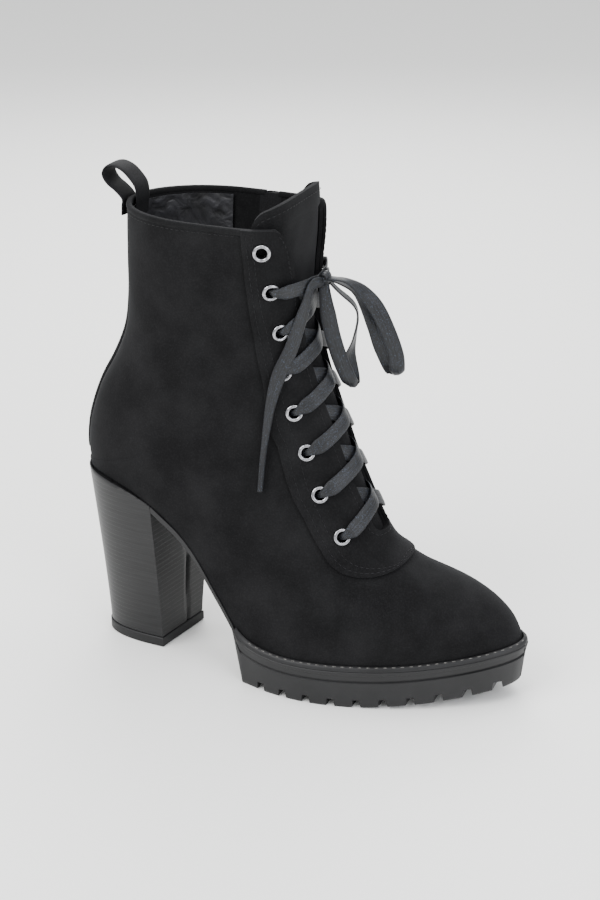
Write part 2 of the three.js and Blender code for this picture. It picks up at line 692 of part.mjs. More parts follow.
// A notch between two lugs, right across the tread
function lugNotch(x) {
  const base = treadHeight(x, PLATFORM);
  const outline = new THREE.Shape([
    new THREE.Vector2(x - LUG_NOTCH * 0.62, base - LUG_DEPTH),
    new THREE.Vector2(x + LUG_NOTCH * 0.62, base - LUG_DEPTH),
    new THREE.Vector2(x + LUG_NOTCH * 0.4, base + LUG_DEPTH),
    new THREE.Vector2(x - LUG_NOTCH * 0.4, base + LUG_DEPTH),
  ]);
  const prism = new THREE.ExtrudeGeometry(outline, { depth: 4 * HALF_BALL, bevelEnabled: false });
  prism.rotateX(Math.PI / 2);
  prism.translate(0, 2 * HALF_BALL, 0);
  return toSolid(prism);
}

// How far the upper bulges beyond its feather line at a small height above it
function bulge(station, side, rise) {
  const s = sizedSection(station, side, 0);
  const height = Math.max((s.front[1] - s.back[1]) * (1 - s.widest), rise);
  const tuck = Math.sqrt(Math.max(1 - (s.foot / s.girth) ** 2, 0));
  return s.girth * Math.cos(Math.asin((1 - rise / height) * tuck)) - s.foot;
}

// Welt: a thin strip in the crease between the upper and the platform, from waist round to waist
function addWelt() {
  const start = BACK_FACE[1];
  const stations = SOLE_STATIONS.filter((t) => t >= start - 0.01);
  const path = [...stations.map((t) => [t, -1]), ...stations.slice().reverse().map((t) => [t, 1])];
  const column = (outset, rise) => path.map(([t, side]) => solePoint(
    t,
    side,
    outset === null ? 2 * GAP + bulge(t, side, WELT_THICKNESS) : outset,
    bedHeight(t) + rise,
  ));
  const top = [column(null, WELT_THICKNESS), column(SOLE_EDGE + GAP, WELT_THICKNESS)];
  const foot = [column(null, 0), column(SOLE_EDGE + GAP, 0)];
  const byRow = (pair) => pair[0].map((_, k) => [pair[0][k], pair[1][k]]);
  addPiece('welt', wallGeometry(byRow(top), byRow(foot)), 'rubber');
}

// The heel's outline at a share of its height: half a superellipse behind the flat, slanted breast
function heelOutline(share, outset = 0) {
  const flare = share ** HEEL_FLARE;
  const breast = lerp(HEEL_BREAST_FOOT, HEEL_BREAST_TOP, share) + outset;
  const back = lerp(HEEL_BACK_FOOT, HEEL_BACK_TOP, flare) - outset;
  const half = lerp(HEEL_HALF_FOOT, HEEL_HALF_TOP, flare) + outset;
  return Array.from({ length: 2 * HEEL_POINTS }, (_, k) => {
    const side = k < HEEL_POINTS ? -1 : 1;
    const step = k < HEEL_POINTS ? k : 2 * HEEL_POINTS - 1 - k;
    const angle = step / (HEEL_POINTS - 0.5) * Math.PI / 2;
    const depth = Math.sin(angle) ** (2 / HEEL_ROUND);
    const y = lerp(HEEL_SWING_FOOT, 0, flare) + side * half * Math.cos(angle) ** (2 / HEEL_ROUND);
    return [lerp(breast, back, depth) + HEEL_SLANT * y * (1 - depth), y];
  });
}
const seatHeight = (x) => bedHeight(stationAtSole(clamp(x, 0.3, LENGTH)));

function addHeel() {
  const foot = TOP_LIFT + GAP;
  const rings = [0, 0.25, 0.5, 0.75, 1].map((share) => heelOutline(share).map(([x, y]) => (
    new THREE.Vector3(x, y, lerp(foot, seatHeight(x) - 2 * GAP, share)))));
  addPiece('heel', ringGeometry(rings), 'heel');
  const outline = heelOutline(0, TOP_LIFT_EDGE);
  const lift = [0, TOP_LIFT].map((z) => outline.map(([x, y]) => new THREE.Vector3(x, y, z)));
  addPiece('top_lift', ringGeometry(lift), 'rubber');
}

// A flat band swept along points: across gives the band's width direction at each point
function bandGeometry(points, across, width, thickness) {
  const rings = points.map((point, k) => {
    const ahead = points[Math.min(k + 1, points.length - 1)];
    const behind = points[Math.max(k - 1, 0)];
    const along = ahead.clone().sub(behind).normalize();
    const side = across[k].clone().addScaledVector(along, -across[k].dot(along)).normalize();
    const up = new THREE.Vector3().crossVectors(along, side).normalize();
    return [[-1, -1], [-1, 1], [1, 1], [1, -1]].map(([s, u]) => point.clone()
      .addScaledVector(side, s * width / 2)
      .addScaledVector(up, u * thickness / 2));
  });
  return ringGeometry(rings);
}

// Pull loop: a tape folded over the collar's back edge, its two legs on either side of the wall.
// Each point is an offset from the back seam's line and a height over the collar.
function addPullLoop() {
  const leg = 9;
  const outer = -(GAP + OVERLAY + GAP + LOOP_THICKNESS / 2);
  const inner = WALL + 3 * GAP + LOOP_THICKNESS;
  const line = [
    [outer, -leg], [outer, -leg / 2], [outer, -1], [-6.5, 2.7], [-11, 6], [-13.2, 10], [-11.5, 13.4],
    [-7.5, 14.6], [-2.5, 13], [1.5, 9.5], [4.4, 5.5], [inner + 0.4, 0], [inner, -leg / 2], [inner, -leg],
  ];
  const seamX = (rise) => {
    const height = levelToZ(2) + Math.min(rise, 0);
    return sectionRow(findStation((t) => sectionRow(t).backZ, height, 0, SEAT_ROW)).backX;
  };
  const curve = new THREE.CatmullRomCurve3(line.map(([x, rise]) => (
    new THREE.Vector3(seamX(rise) + x, 0, levelToZ(2) + rise))), false, 'centripetal');
  const points = curve.getSpacedPoints(28);
  const across = points.map(() => UP);
  addPiece('pull_loop', bandGeometry(points, across, LOOP_TAPE, LOOP_THICKNESS), 'suede');
}

// A flat lace on the surface: each place is a station, how far round and how far out its middle lies
function surfaceLace(places) {
  const layer = (shift) => places.map(([station, around, grow], k) => {
    const ahead = surfacePoint(...places[Math.min(k + 1, places.length - 1)]);
    const behind = surfacePoint(...places[Math.max(k - 1, 0)]);
    const along = ahead.sub(behind).normalize();
    const step = surfacePoint(station + CURVE_STEP, around, grow).sub(surfacePoint(station, around, grow));
    const slant = along.dot(step.clone().normalize());
    const half = LACE_WIDTH / 2 / Math.sqrt(1 - slant ** 2) / step.length() * CURVE_STEP;
    return [-half, half].map((move) => surfacePoint(station + move, around, grow + shift));
  });
  return wallGeometry(layer(LACE_THICKNESS / 2), layer(-LACE_THICKNESS / 2));
}

const LACE_REST = OVERLAY + 4 * GAP + LACE_THICKNESS / 2;
const STRAP_RISE = 0.8;
const LACE_LOW = 1.5 * GAP + LACE_THICKNESS / 2 - (WALL + GAP);

// How far round the section a length in millimetres reaches
function aroundReach(station, around, length) {
  const step = surfacePoint(station, around + CURVE_STEP, 0).distanceTo(surfacePoint(station, around, 0));
  return length * CURVE_STEP / step;
}

// One bar from an eyelet up over the throat, down to the tongue at the throat's other edge
function laceBar(side, number) {
  const [level, around] = EYELETS[number];
  const [nextLevel, nextAround] = EYELETS[number - 1];
  const station = stationAtLevel(level);
  const start = around - aroundReach(station, around, EYELET_OUTER + 2 * GAP);
  const throat = edgeAt(level, 'throat');
  const end = throat - aroundReach(station, 0, 3 * GAP);
  const places = [start, throat, throat / 3, -throat / 3, -end].map((a) => {
    const up = lerp(level, nextLevel, (around - a) / (around + nextAround));
    const fall = clamp((throat - a) / (throat + end), 0, 1);
    return [stationAtLevel(up), side * a, lerp(LACE_REST, LACE_LOW, fall)];
  });
  return toSolid(surfaceLace(places));
}

// The straps from the highest laced eyelets to the knot, as one strip behind it
function laceStraps() {
  const [level, around] = EYELETS[FIRST_LACED];
  const station = stationAtLevel(level);
  const start = around - aroundReach(station, around, EYELET_OUTER + 2 * GAP);
  const shares = [-1, -0.75, -0.5, -0.25, 0, 0.25, 0.5, 0.75, 1];
  const places = shares.map((f) => [station, f * start, LACE_REST + STRAP_RISE * (1 - Math.abs(f))]);
  return surfaceLace(places);
}

function addLaces() {
  for (let k = EYELETS.length - 1; k > FIRST_LACED; k -= 1) {
    const pair = [-1, 1].map((side) => laceBar(side, k));
    addPiece(`lace_cross_${k}`, toGeometry(join(pair)), 'lace');
  }
  addPiece('lace_straps', laceStraps(), 'lace');
}

// A cord node: a flat tube of eight sides along points, with the lace's width direction at each
function addCord(name, points, across, width, thickness) {
  const curve = new THREE.CatmullRomCurve3(points, false, 'centripetal');
  const section = new THREE.Shape(Array.from({ length: 8 }, (_, k) => {
    const angle = (k + 0.5) / 8 * 2 * Math.PI;
    return new THREE.Vector2(thickness / 2 * Math.cos(angle), width / 2 * Math.sin(angle));
  }));
  curve.computeFrenetFrames = (steps) => {
    const frames = Array.from({ length: steps + 1 }, (_, k) => {
      const place = curve.getUtoTmapping(k / steps) * (points.length - 1);
      const i = Math.min(Math.floor(place), points.length - 2);
      const tangent = curve.getTangentAt(k / steps);
      const side = across[i].clone().lerp(across[i + 1], place - i);
      side.addScaledVector(tangent, -side.dot(tangent)).normalize();
      return { tangent, side, normal: new THREE.Vector3().crossVectors(side, tangent) };
    });
    return {
      tangents: frames.map((f) => f.tangent),
      normals: frames.map((f) => f.normal),
      binormals: frames.map((f) => f.side),
    };
  };
  const steps = Math.ceil(curve.getLength() / width);
  const tube = new THREE.ExtrudeGeometry(section, { steps, extrudePath: curve, bevelEnabled: false });
  cords.push(addPiece(name, solidGeometry(...meshLists(tube)), 'lace'));
}

// Points and faces of a geometry
function meshLists(geometry) {
  const count = geometry.attributes.position.count;
  const at = (i) => new THREE.Vector3().fromBufferAttribute(geometry.attributes.position, i);
  const points = Array.from({ length: count }, (_, i) => at(i));
  const faces = Array.from({ length: count / 3 }, (_, k) => [3 * k, 3 * k + 1, 3 * k + 2]);
  return [points, faces];
}

// The bow's knot stands before the straps. Its loops face a view from the side and a little in front.
function addBow() {
  const [level] = EYELETS[FIRST_LACED];
  const rest = LACE_REST + STRAP_RISE + LACE_THICKNESS / 2 + GAP;
  const knot = surfacePoint(stationAtLevel(level), 0, rest + KNOT_DEPTH / 2);
  const away = new THREE.Vector3(-0.37, 0.93, 0);
  const across = new THREE.Vector3(0.93, 0.37, 0);
  const knotLine = [-0.5, 0, 0.5].map((share) => knot.clone().addScaledVector(UP, share * KNOT));
  addCord('bow_knot', knotLine, knotLine.map(() => new THREE.Vector3(0, 0, 1)), KNOT, KNOT_DEPTH);
  for (const [name, table] of [['bow_loop_a', BOW_LOOP_A], ['bow_loop_b', BOW_LOOP_B]]) {
    const points = table.map(([x, y, z]) => knot.clone()
      .add(new THREE.Vector3(x, y, z).multiplyScalar(LACE_WIDTH)));
    const widths = table.map((row) => {
      const turn = THREE.MathUtils.degToRad(row[BOW_COLUMNS.indexOf('turn')]);
      return across.clone().multiplyScalar(Math.cos(turn)).addScaledVector(away, Math.sin(turn));
    });
    addCord(name, points, widths, LACE_WIDTH, CORD_THICKNESS);
  }
  const ends = [['lace_end_a', -1, LACE_END.length], ['lace_end_b', 1, INNER_END_POINTS]];
  for (const [name, side, count] of ends) {
    const frames = LACE_END.slice(0, count).map(([at, around, out]) => (
      surfaceFrame(stationAtLevel(at), side * around, out)));
    const points = frames.map((f) => f.point);
    const widths = frames.map((f, k) => {
      const ahead = points[Math.min(k + 1, count - 1)];
      const behind = points[Math.max(k - 1, 0)];
      return new THREE.Vector3().crossVectors(f.normal, ahead.clone().sub(behind)).normalize();
    });
    addCord(name, points, widths, LACE_WIDTH, CORD_THICKNESS);
  }
}

// The place on the medial wall where the zip's line passes a height
function zipPlace(z) {
  let station = 0;
  let around = 0.5;
  for (let k = 0; k < 12; k += 1) {
    station = findStation((t) => surfacePoint(t, around).z, z, -3, SEAT_ROW);
    around = findStation((a) => surfacePoint(station, a).x, zipX(z), 0.3, 0.7);
  }
  return surfaceFrame(station, around, 0);
}

const box = (low, high) => {
  const size = high.map((v, k) => v - low[k]);
  const block = new THREE.BoxGeometry(...size);
  block.translate(...high.map((v, k) => (v + low[k]) / 2));
  return toSolid(block);
};

// Zip slider and its pull, in a frame with X across the zip, Y out of the wall and Z up the zip
function addZipSlider() {
  const { point, normal } = zipPlace(levelToZ(2) - SLIDER_DROP);
  const rise = new THREE.Vector3(zipX(1) - zipX(0), 0, 1);
  rise.addScaledVector(normal, -rise.dot(normal)).normalize();
  const group = new THREE.Group();
  group.position.copy(point);
  group.quaternion.setFromRotationMatrix(new THREE.Matrix4().makeBasis(
    new THREE.Vector3().crossVectors(normal, rise),
    normal,
    rise,
  ));
  boot.add(group);

  const deck = GAP + SLIDER_THICKNESS;
  const half = SLIDER_LENGTH / 2;
  const wide = SLIDER_WIDTH / 2;
  const outline = new THREE.Shape([
    new THREE.Vector2(-wide, half), new THREE.Vector2(-wide, half / 4),
    new THREE.Vector2(-wide * 0.8, -half), new THREE.Vector2(wide * 0.8, -half),
    new THREE.Vector2(wide, half / 4), new THREE.Vector2(wide, half),
  ]);
  const body = new THREE.ExtrudeGeometry(outline, { depth: SLIDER_THICKNESS, bevelEnabled: false });
  body.rotateX(Math.PI / 2);
  body.translate(0, deck, 0);
  const arm = BRIDGE_WIDTH / 2;
  const [low, high] = [-0.6 * half, 0.8 * half];
  const ceiling = deck + BRIDGE_SPACE;
  const bridge = [
    box([-arm, deck - GAP, low], [arm, ceiling + BRIDGE_WALL, low + BRIDGE_WALL]),
    box([-arm, deck - GAP, high - BRIDGE_WALL], [arm, ceiling + BRIDGE_WALL, high]),
    box([-arm, ceiling, low], [arm, ceiling + BRIDGE_WALL, high]),
  ];
  addPiece('zip_slider', toGeometry(join([toSolid(body), ...bridge])), 'nickel', group);

  const reach = arm + 1.5 * GAP + PULL_ARM;
  const thick = PULL_THICKNESS / 2;
  const pin = new THREE.CylinderGeometry(PULL_PIN / 2, PULL_PIN / 2, 2 * reach - PULL_ARM, 8);
  pin.rotateZ(Math.PI / 2);
  const arms = [-1, 1].map((side) => {
    const [near, far] = [side * (reach - PULL_ARM), side * reach].sort(byNumber);
    return box([near, -thick, -PULL_NECK - GAP], [far, thick, PULL_PIN / 2]);
  });
  const corner = PULL_WIDTH / 4;
  const broad = PULL_WIDTH / 2;
  const foot = -(PULL_NECK + PULL_LENGTH);
  const plateOutline = new THREE.Shape([
    new THREE.Vector2(-broad, -PULL_NECK - corner), new THREE.Vector2(-broad, foot + corner),
    new THREE.Vector2(-broad + corner, foot), new THREE.Vector2(broad - corner, foot),
    new THREE.Vector2(broad, foot + corner), new THREE.Vector2(broad, -PULL_NECK - corner),
    new THREE.Vector2(reach, -PULL_NECK), new THREE.Vector2(-reach, -PULL_NECK),
  ]);
  const plate = new THREE.ExtrudeGeometry(plateOutline, { depth: PULL_THICKNESS, bevelEnabled: false });
  plate.rotateX(Math.PI / 2);
  plate.translate(0, thick, 0);
  const whole = join([toSolid(plate), toSolid(pin), ...arms]);
  const pull = addPiece('zip_pull', toGeometry(whole), 'nickel', group);
  pull.position.set(0, deck + GAP + thick, low + BRIDGE_WALL + GAP + PULL_PIN / 2);
}

addUpper();
addTongue();
addInsole();
addOutsole();
addWelt();
addHeel();
addPullLoop();
for (const place of eyeletPlaces) {
  const ring = addPiece(place.name, eyeletGeometry(), 'nickel');
  ring.position.copy(place.point);
  ring.quaternion.setFromUnitVectors(UP, place.normal);
}
addLaces();
addBow();
addZipSlider();

// The boot stands on z = 0 with the middle of its footprint at the origin
boot.updateMatrixWorld(true);
const footprint = new THREE.Box3();
for (const piece of boot.children) {
  if (!cords.includes(piece)) footprint.expandByObject(piece, true);
}
const middle = footprint.getCenter(new THREE.Vector3());
boot.position.set(-middle.x, -middle.y, -footprint.min.z);

export default boot;
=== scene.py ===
"""Lace up ankle boot with a platform sole and a stacked block heel.

The upper and all that lies on it are bent over one last, given by its sections. Lengths in the tables are
millimetres, with the toe towards +X, the medial side towards +Y and the ground at 0. A place on the last is
a station (the number of a section from the collar to the tip of the toe), how far round the section it lies
(-1 lateral sole or back seam, 0 front centre, 1 medial) and how far out from the surface.
"""

import math

import bpy
import numpy as np
from bpy.props import FloatProperty, PointerProperty, StringProperty
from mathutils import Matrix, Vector


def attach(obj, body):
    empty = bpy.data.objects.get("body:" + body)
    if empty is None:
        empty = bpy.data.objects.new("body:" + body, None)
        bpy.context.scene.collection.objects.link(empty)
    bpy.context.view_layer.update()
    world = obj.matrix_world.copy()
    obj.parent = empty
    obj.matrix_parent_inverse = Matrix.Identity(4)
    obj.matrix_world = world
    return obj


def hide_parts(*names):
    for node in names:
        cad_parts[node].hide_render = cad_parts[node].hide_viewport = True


bl_info = {
    "name": "Lace Up Ankle Boot",
    "version": (1, 0, 0),
    "blender": (4, 5, 0),
    "location": "3D View > Sidebar > Boot",
    "description": "Black suede platform ankle boot with a stacked block heel, laces and an inner zip",
    "category": "Add Mesh",
}

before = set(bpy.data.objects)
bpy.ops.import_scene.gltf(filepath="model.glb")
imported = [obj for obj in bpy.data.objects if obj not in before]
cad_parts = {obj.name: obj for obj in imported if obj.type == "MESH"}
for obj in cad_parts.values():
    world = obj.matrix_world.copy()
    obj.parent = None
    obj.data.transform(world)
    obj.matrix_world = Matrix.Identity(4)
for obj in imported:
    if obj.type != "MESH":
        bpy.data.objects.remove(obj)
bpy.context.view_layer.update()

MM = 0.001
CENTRE = np.array([-116.584, -0.522, 0.0])

# The last: front x and z, back x and z, half width at the sole and at the widest place (lateral, medial),
# share of the section before its widest place, roundness of its front and sideways swing
SECTIONS = np.array([
    (121, 238, 29.5, 238, 0, 0, 33.5, 33.5, 0.5, 4.6, 0),
    (121.5, 226, 28.6, 223, 0, 0, 32.8, 32.8, 0.5, 4.1, 0),
    (122, 213.5, 28, 207, 0, 0, 32, 32, 0.5, 3.2, 0),
    (122.8, 201.5, 27.5, 190, 0, 0, 31.2, 31.2, 0.5, 2.6, 0),
    (124, 190, 25, 173, 0, 0, 30.6, 30.6, 0.5, 2.25, 0),
    (125.7, 180, 18.5, 157, 0, 0, 30.2, 30.2, 0.51, 2.1, 0),
    (128, 171, 9.5, 140.5, 0, 0, 30, 30, 0.52, 2.05, 0),
    (130.7, 163.5, 2.5, 122, 0, 0, 30, 29.8, 0.54, 2, 0),
    (133.3, 157, 0, 108, 0, 0, 30, 29.6, 0.56, 2, 0),
    (135.8, 151, 0.3, 98.5, 0, 0, 30, 29.6, 0.58, 2, 0),
    (138.2, 145.5, 1.6, 97.8, 7.5, 7.5, 30, 29.5, 0.6, 1.95, 0),
    (140.5, 139.5, 9, 97, 17, 17, 30, 29.5, 0.6, 1.9, 0),
    (143.2, 132, 21, 95, 22.3, 22.3, 30.2, 29.5, 0.6, 1.85, 0),
    (147, 121.5, 37, 90.3, 25.3, 25, 30.7, 29.5, 0.6, 1.8, -0.2),
    (151.5, 110.5, 54, 81.2, 27, 25.5, 31.2, 29.8, 0.6, 1.8, -0.5),
    (156.3, 99.5, 70, 67, 28.3, 26, 32, 30.3, 0.6, 1.8, -0.9),
    (161, 88.5, 86, 44.8, 30.8, 28, 33.5, 31.5, 0.62, 1.85, -1.1),
    (166.5, 79.8, 100, 26.5, 33.5, 31.3, 35.5, 33.6, 0.66, 1.95, -1),
    (173.8, 72.6, 118, 22, 38, 35.8, 38.6, 36.5, 0.7, 2.05, -0.5),
    (182, 66.3, 138, 21.6, 39.6, 37.2, 39.9, 37.6, 0.72, 2.1, 0.8),
    (191, 61.8, 160, 22.2, 37.2, 37, 37.5, 37.3, 0.72, 2.1, 2.8),
    (200.5, 58, 180, 23.3, 32.4, 33.6, 32.8, 34, 0.72, 2.1, 4.7),
    (209.8, 54.2, 197, 25, 26.2, 27, 26.7, 27.5, 0.7, 2.1, 6.3),
    (218, 49.3, 212, 27, 19, 19.6, 19.6, 20.2, 0.66, 2.1, 7.8),
    (225, 43, 223, 29, 12.2, 12.5, 12.8, 13.1, 0.6, 2.1, 8.9),
    (229.7, 36.3, 229.6, 30.2, 5.8, 6, 6.3, 6.5, 0.55, 2, 9.5),
    (231.4, 33.5, 232, 31, 0.8, 0.8, 1, 1, 0.5, 2, 9.8),
])
FRONT_X, FRONT_Z, BACK_X, BACK_Z, FOOT_L, FOOT_M, GIRTH_L, GIRTH_M, WIDEST, ROUNDNESS, SWING = range(11)
LAST_ROW = len(SECTIONS) - 1
SEAT_ROW = 9
# The tongue stands above the collar, so stations go on above the first section
FIRST_STATION = -3
STEP = 0.02
SOLVE_STEPS = 40
PLACE_STEPS = 12

# Heights that levels count from: 0 the platform's top, 1 the heel seat, 2 the collar
PLATFORM = 22.0
SEAT_HEIGHT = 93.0
SHAFT = 145.0
COLLAR = SEAT_HEIGHT + SHAFT
LENGTH = 232.0

# Throat and eyestay edges: level of the section's front, then how far round each edge lies. Below ARC_LEVEL
# both close in an arc on the centre line.
EYESTAY_EDGES = np.array([
    (2, 0.17, 0.412), (1.93, 0.12, 0.4), (1.8, 0.1, 0.352), (1.66, 0.1, 0.31), (1.5, 0.095, 0.27),
    (1.31, 0.098, 0.268), (1.13, 0.1, 0.305), (1.03, 0.092, 0.306), (0.97, 0.086, 0.297),
])
THROAT, OUTER = 1, 2
ARC_LEVEL = 0.97
THROAT_END = 0.885
EYESTAY_END = 0.69
STRAIGHT_SHARE = 0.72
END_ROUND = 0.8
CORNER_ROUND = 6.5

# Eyelets from the top (level, place round the section). The top pair isn't laced.
EYELETS = [
    (1.931, 0.31), (1.797, 0.25), (1.656, 0.21), (1.526, 0.21),
    (1.403, 0.2), (1.263, 0.21), (1.125, 0.23), (0.991, 0.22),
]
FIRST_LACED = 1
EYELET_HOLE = 3.1
# Width and thickness of a ribbon gathered in an eyelet
GATHERED = (3.4, 1.9)

# Soft creases of the worn-in ankle and vamp: from (level, round) to (level, round), depth and half width
CREASES = [
    (1.46, -0.36, 1.36, -0.72, -0.9, 6.0), (1.30, -0.33, 1.20, -0.66, -1.2, 5.5),
    (1.38, -0.36, 1.29, -0.70, 0.5, 6.0), (1.13, -0.37, 0.98, -0.62, -1.0, 6.5),
    (1.22, -0.36, 1.10, -0.64, 0.5, 6.0), (0.86, -0.30, 0.72, -0.52, -0.6, 7.0),
    (1.44, 0.36, 1.36, 0.70, -0.9, 6.0), (1.28, 0.33, 1.20, 0.66, -1.1, 5.5),
    (1.12, 0.37, 0.98, 0.60, -0.9, 6.5), (0.84, 0.30, 0.72, 0.52, -0.6, 7.0),
    (1.72, -0.46, 1.66, -0.86, -0.6, 9.0), (1.60, -0.6, 1.52, -0.95, 0.5, 9.0),
    (0.78, -0.18, 0.80, 0.18, -0.5, 5.0), (1.14, -0.78, 1.08, -0.96, -0.5, 6.0),
    (1.72, 0.5, 1.66, 0.86, -0.5, 9.0),
]
# Millimetres that a whole station and a whole half round stand for, on average
STATION_LENGTH = 11.0
ROUND_LENGTH = 80.0

# Sole and heel
WAIST_SHEET = 3.3
SOLE_EDGE = 2.6
WAIST_EDGE = 0.6
SOLE_TAPER = 2.0
SIDE_GROOVE = 0.9
PLATFORM_BACK = 94.0
PLATFORM_FOOT = 100.0
TOE_SPRING = 9.8
SPRING_START = 0.65
LUG_FIRST = 111.5
LUG_PITCH = 12.55
LUG_COUNT = 10
LUG_NOTCH = 4.2
LUG_DEPTH = 4.5
TOP_LIFT = 5.5
TOP_LIFT_EDGE = 0.5
HEEL_BREAST_TOP = 51.0
HEEL_BREAST_FOOT = 50.5
HEEL_BACK_TOP = 1.5
HEEL_BACK_FOOT = 9.5
HEEL_HALF_TOP = 27.0
HEEL_HALF_FOOT = 17.0
HEEL_SWING_FOOT = -3.0
HEEL_SLANT = 0.19
HEEL_FLARE = 1.25
HEEL_ROUND = 2.7
INSOLE = 2.5

# The platform's side from its top: outset in groove depths and place as a share of height. A thin lip stands
# proud at the top and a fine groove runs below it.
SIDE_STEPS = np.array([
    (0.1, 0), (0.55, 0.015), (0.6, 0.05), (0.5, 0.085), (0.05, 0.1), (0, 0.13), (0, 0.235), (-0.95, 0.26),
    (-0.95, 0.3), (0, 0.325), (0, 0.45), (0, 0.6), (0, 0.75), (0, 0.9), (-0.1, 0.97), (-0.5, 1),
])

# Tongue and zip
TONGUE_RISE = 11.0
TONGUE_SHOULDER = 0.5
TONGUE_EDGE = 0.36
TONGUE_FOOT = 0.73
TONGUE_CORNER = 6.5
ZIP_TOP_X = 0.382
ZIP_FOOT_X = 0.339
ZIP_FOOT_LEVEL = 0.76
ZIP_FOOT = PLATFORM + (SEAT_HEIGHT - PLATFORM) * ZIP_FOOT_LEVEL
SLIDER_DROP = 6.0
GAP = 0.3

# The coated lining inside the back: its edge beside the zip and its seam, as places round the section
GRIP_INNER_EDGE = 0.55
GRIP_SEAM = 0.7

# The bow, from the knot outwards: forward, inwards and up in lace widths, and the turn of its face
RIBBON_WIDTH = 0.0076
BOW_LOOP_A = np.array([
    (0.6, -0.15, 0.12, 90), (1.4, 0.1, 0, 75), (2.2, 0.45, -0.6, 45), (3.05, 0.85, -1.75, 15),
    (3.75, 1.1, -3.3, 0), (4.25, 1.35, -4.9, 0), (4.3, 1.5, -5.95, 0), (4.1, 1.95, -6.5, 0),
    (3.7, 2.1, -6.1, 0), (3.15, 1.75, -4.7, 0), (2.75, 1.45, -3.2, 15), (2.25, 1.1, -1.9, 45),
    (1.6, 0.75, -0.85, 75), (0.8, 0.45, -0.38, 90),
])
BOW_LOOP_B = np.array([
    (0.05, -0.25, -0.56, 0), (0.25, -0.2, -2.1, 0), (0.55, 0, -3.8, 0), (1, 0.2, -5.4, 0),
    (1.5, 0.5, -6.8, 0), (1.55, 0.95, -7.35, 0), (1.3, 1.3, -6.6, 15), (1.15, 1.35, -5.4, 45),
    (1.35, 1.5, -4.3, 75), (1.55, 1.6, -2.9, 90), (1.35, 1.4, -2, 90), (0.6, 0.8, -1.05, 90),
])
# The lace's free ends: level, place round the section and height over the last
LACE_END = np.array([
    (1.79, 0.045, 5.4), (1.74, 0.09, 4.8), (1.669, 0.144, 4.6), (1.596, 0.186, 4.4), (1.529, 0.228, 4.2),
    (1.461, 0.254, 4), (1.377, 0.275, 3.6), (1.279, 0.315, 3.2), (1.176, 0.368, 2.8),
])
# A ribbon's face with no turn, and turned by 90 degrees
ACROSS_VIEW = np.array([0.93, 0.37, 0.0])
INTO_VIEW = np.array([-0.37, 0.93, 0.0])
KNOT_PLACE = np.array([13.1, -0.5, 208.95])
CORD_POINTS = 81


# ---- The last ----

def curve_between(before, here, after, far, f):
    """A smooth curve from here to after, at shares f of the way, that heeds the values on both sides."""
    return (
        (2 * f**3 - 3 * f**2 + 1) * here + (f**3 - 2 * f**2 + f) * (after - before) / 2
        + (3 * f**2 - 2 * f**3) * after + (f**3 - f**2) * (far - here) / 2
    )


def section_rows(station):
    """Sections at any stations, on smooth curves through the rows."""
    station = np.asarray(station, float)
    i = np.clip(np.floor(station).astype(int), 0, LAST_ROW - 1)
    f = (station - i)[..., None]
    before, here = SECTIONS[np.maximum(i - 1, 0)], SECTIONS[i]
    after, far = SECTIONS[i + 1], SECTIONS[np.minimum(i + 2, LAST_ROW)]
    straight = SECTIONS[0] + (SECTIONS[1] - SECTIONS[0]) * station[..., None]
    return np.where(station[..., None] < 0, straight, curve_between(before, here, after, far, f))


def unit(vectors):
    """Vectors of length 1."""
    size = np.linalg.norm(vectors, axis=-1, keepdims=True)
    return vectors / np.where(size == 0, 1, size)


def sized_section(station, side, grow):
    """Ends, sole and girth half widths of a section, grown outwards."""
    here = section_rows(station)
    up = section_rows(station - STEP)
    down = section_rows(np.minimum(station + STEP, LAST_ROW))
    foot_column = np.where(side < 0, FOOT_L, FOOT_M)[..., None]
    girth_column = np.where(side < 0, GIRTH_L, GIRTH_M)[..., None]
    pick = lambda rows, column: np.take_along_axis(rows, column, -1)[..., 0]
    travel = down - up
    along = unit(travel[..., [FRONT_X, FRONT_Z]])
    front = np.stack([
        here[..., FRONT_X] - along[..., 1] * grow, here[..., FRONT_Z] + along[..., 0] * grow], -1)
    rear = unit(travel[..., [BACK_X, BACK_Z]])
    foot_travel = pick(down, foot_column) - pick(up, foot_column)
    outline = unit(np.stack([travel[..., BACK_X], foot_travel], -1))
    standing = station <= SEAT_ROW
    back_x = here[..., BACK_X] + np.where(standing, rear[..., 1], -outline[..., 1]) * grow
    back_z = here[..., BACK_Z] - np.where(station < SEAT_ROW, rear[..., 0], 0) * grow
    foot = np.where(standing, 0, np.maximum(pick(here, foot_column) + outline[..., 0] * grow, 0))
    both_ends = travel[..., [FRONT_X, FRONT_Z]] + travel[..., [BACK_X, BACK_Z]]
    middle = np.linalg.norm(both_ends, axis=-1) / 2
    widening = pick(down, girth_column) - pick(up, girth_column)
    girth = pick(here, girth_column) + middle / np.hypot(middle, widening) * grow
    return here, front, np.stack([back_x, back_z], -1), foot, np.maximum(girth, foot)


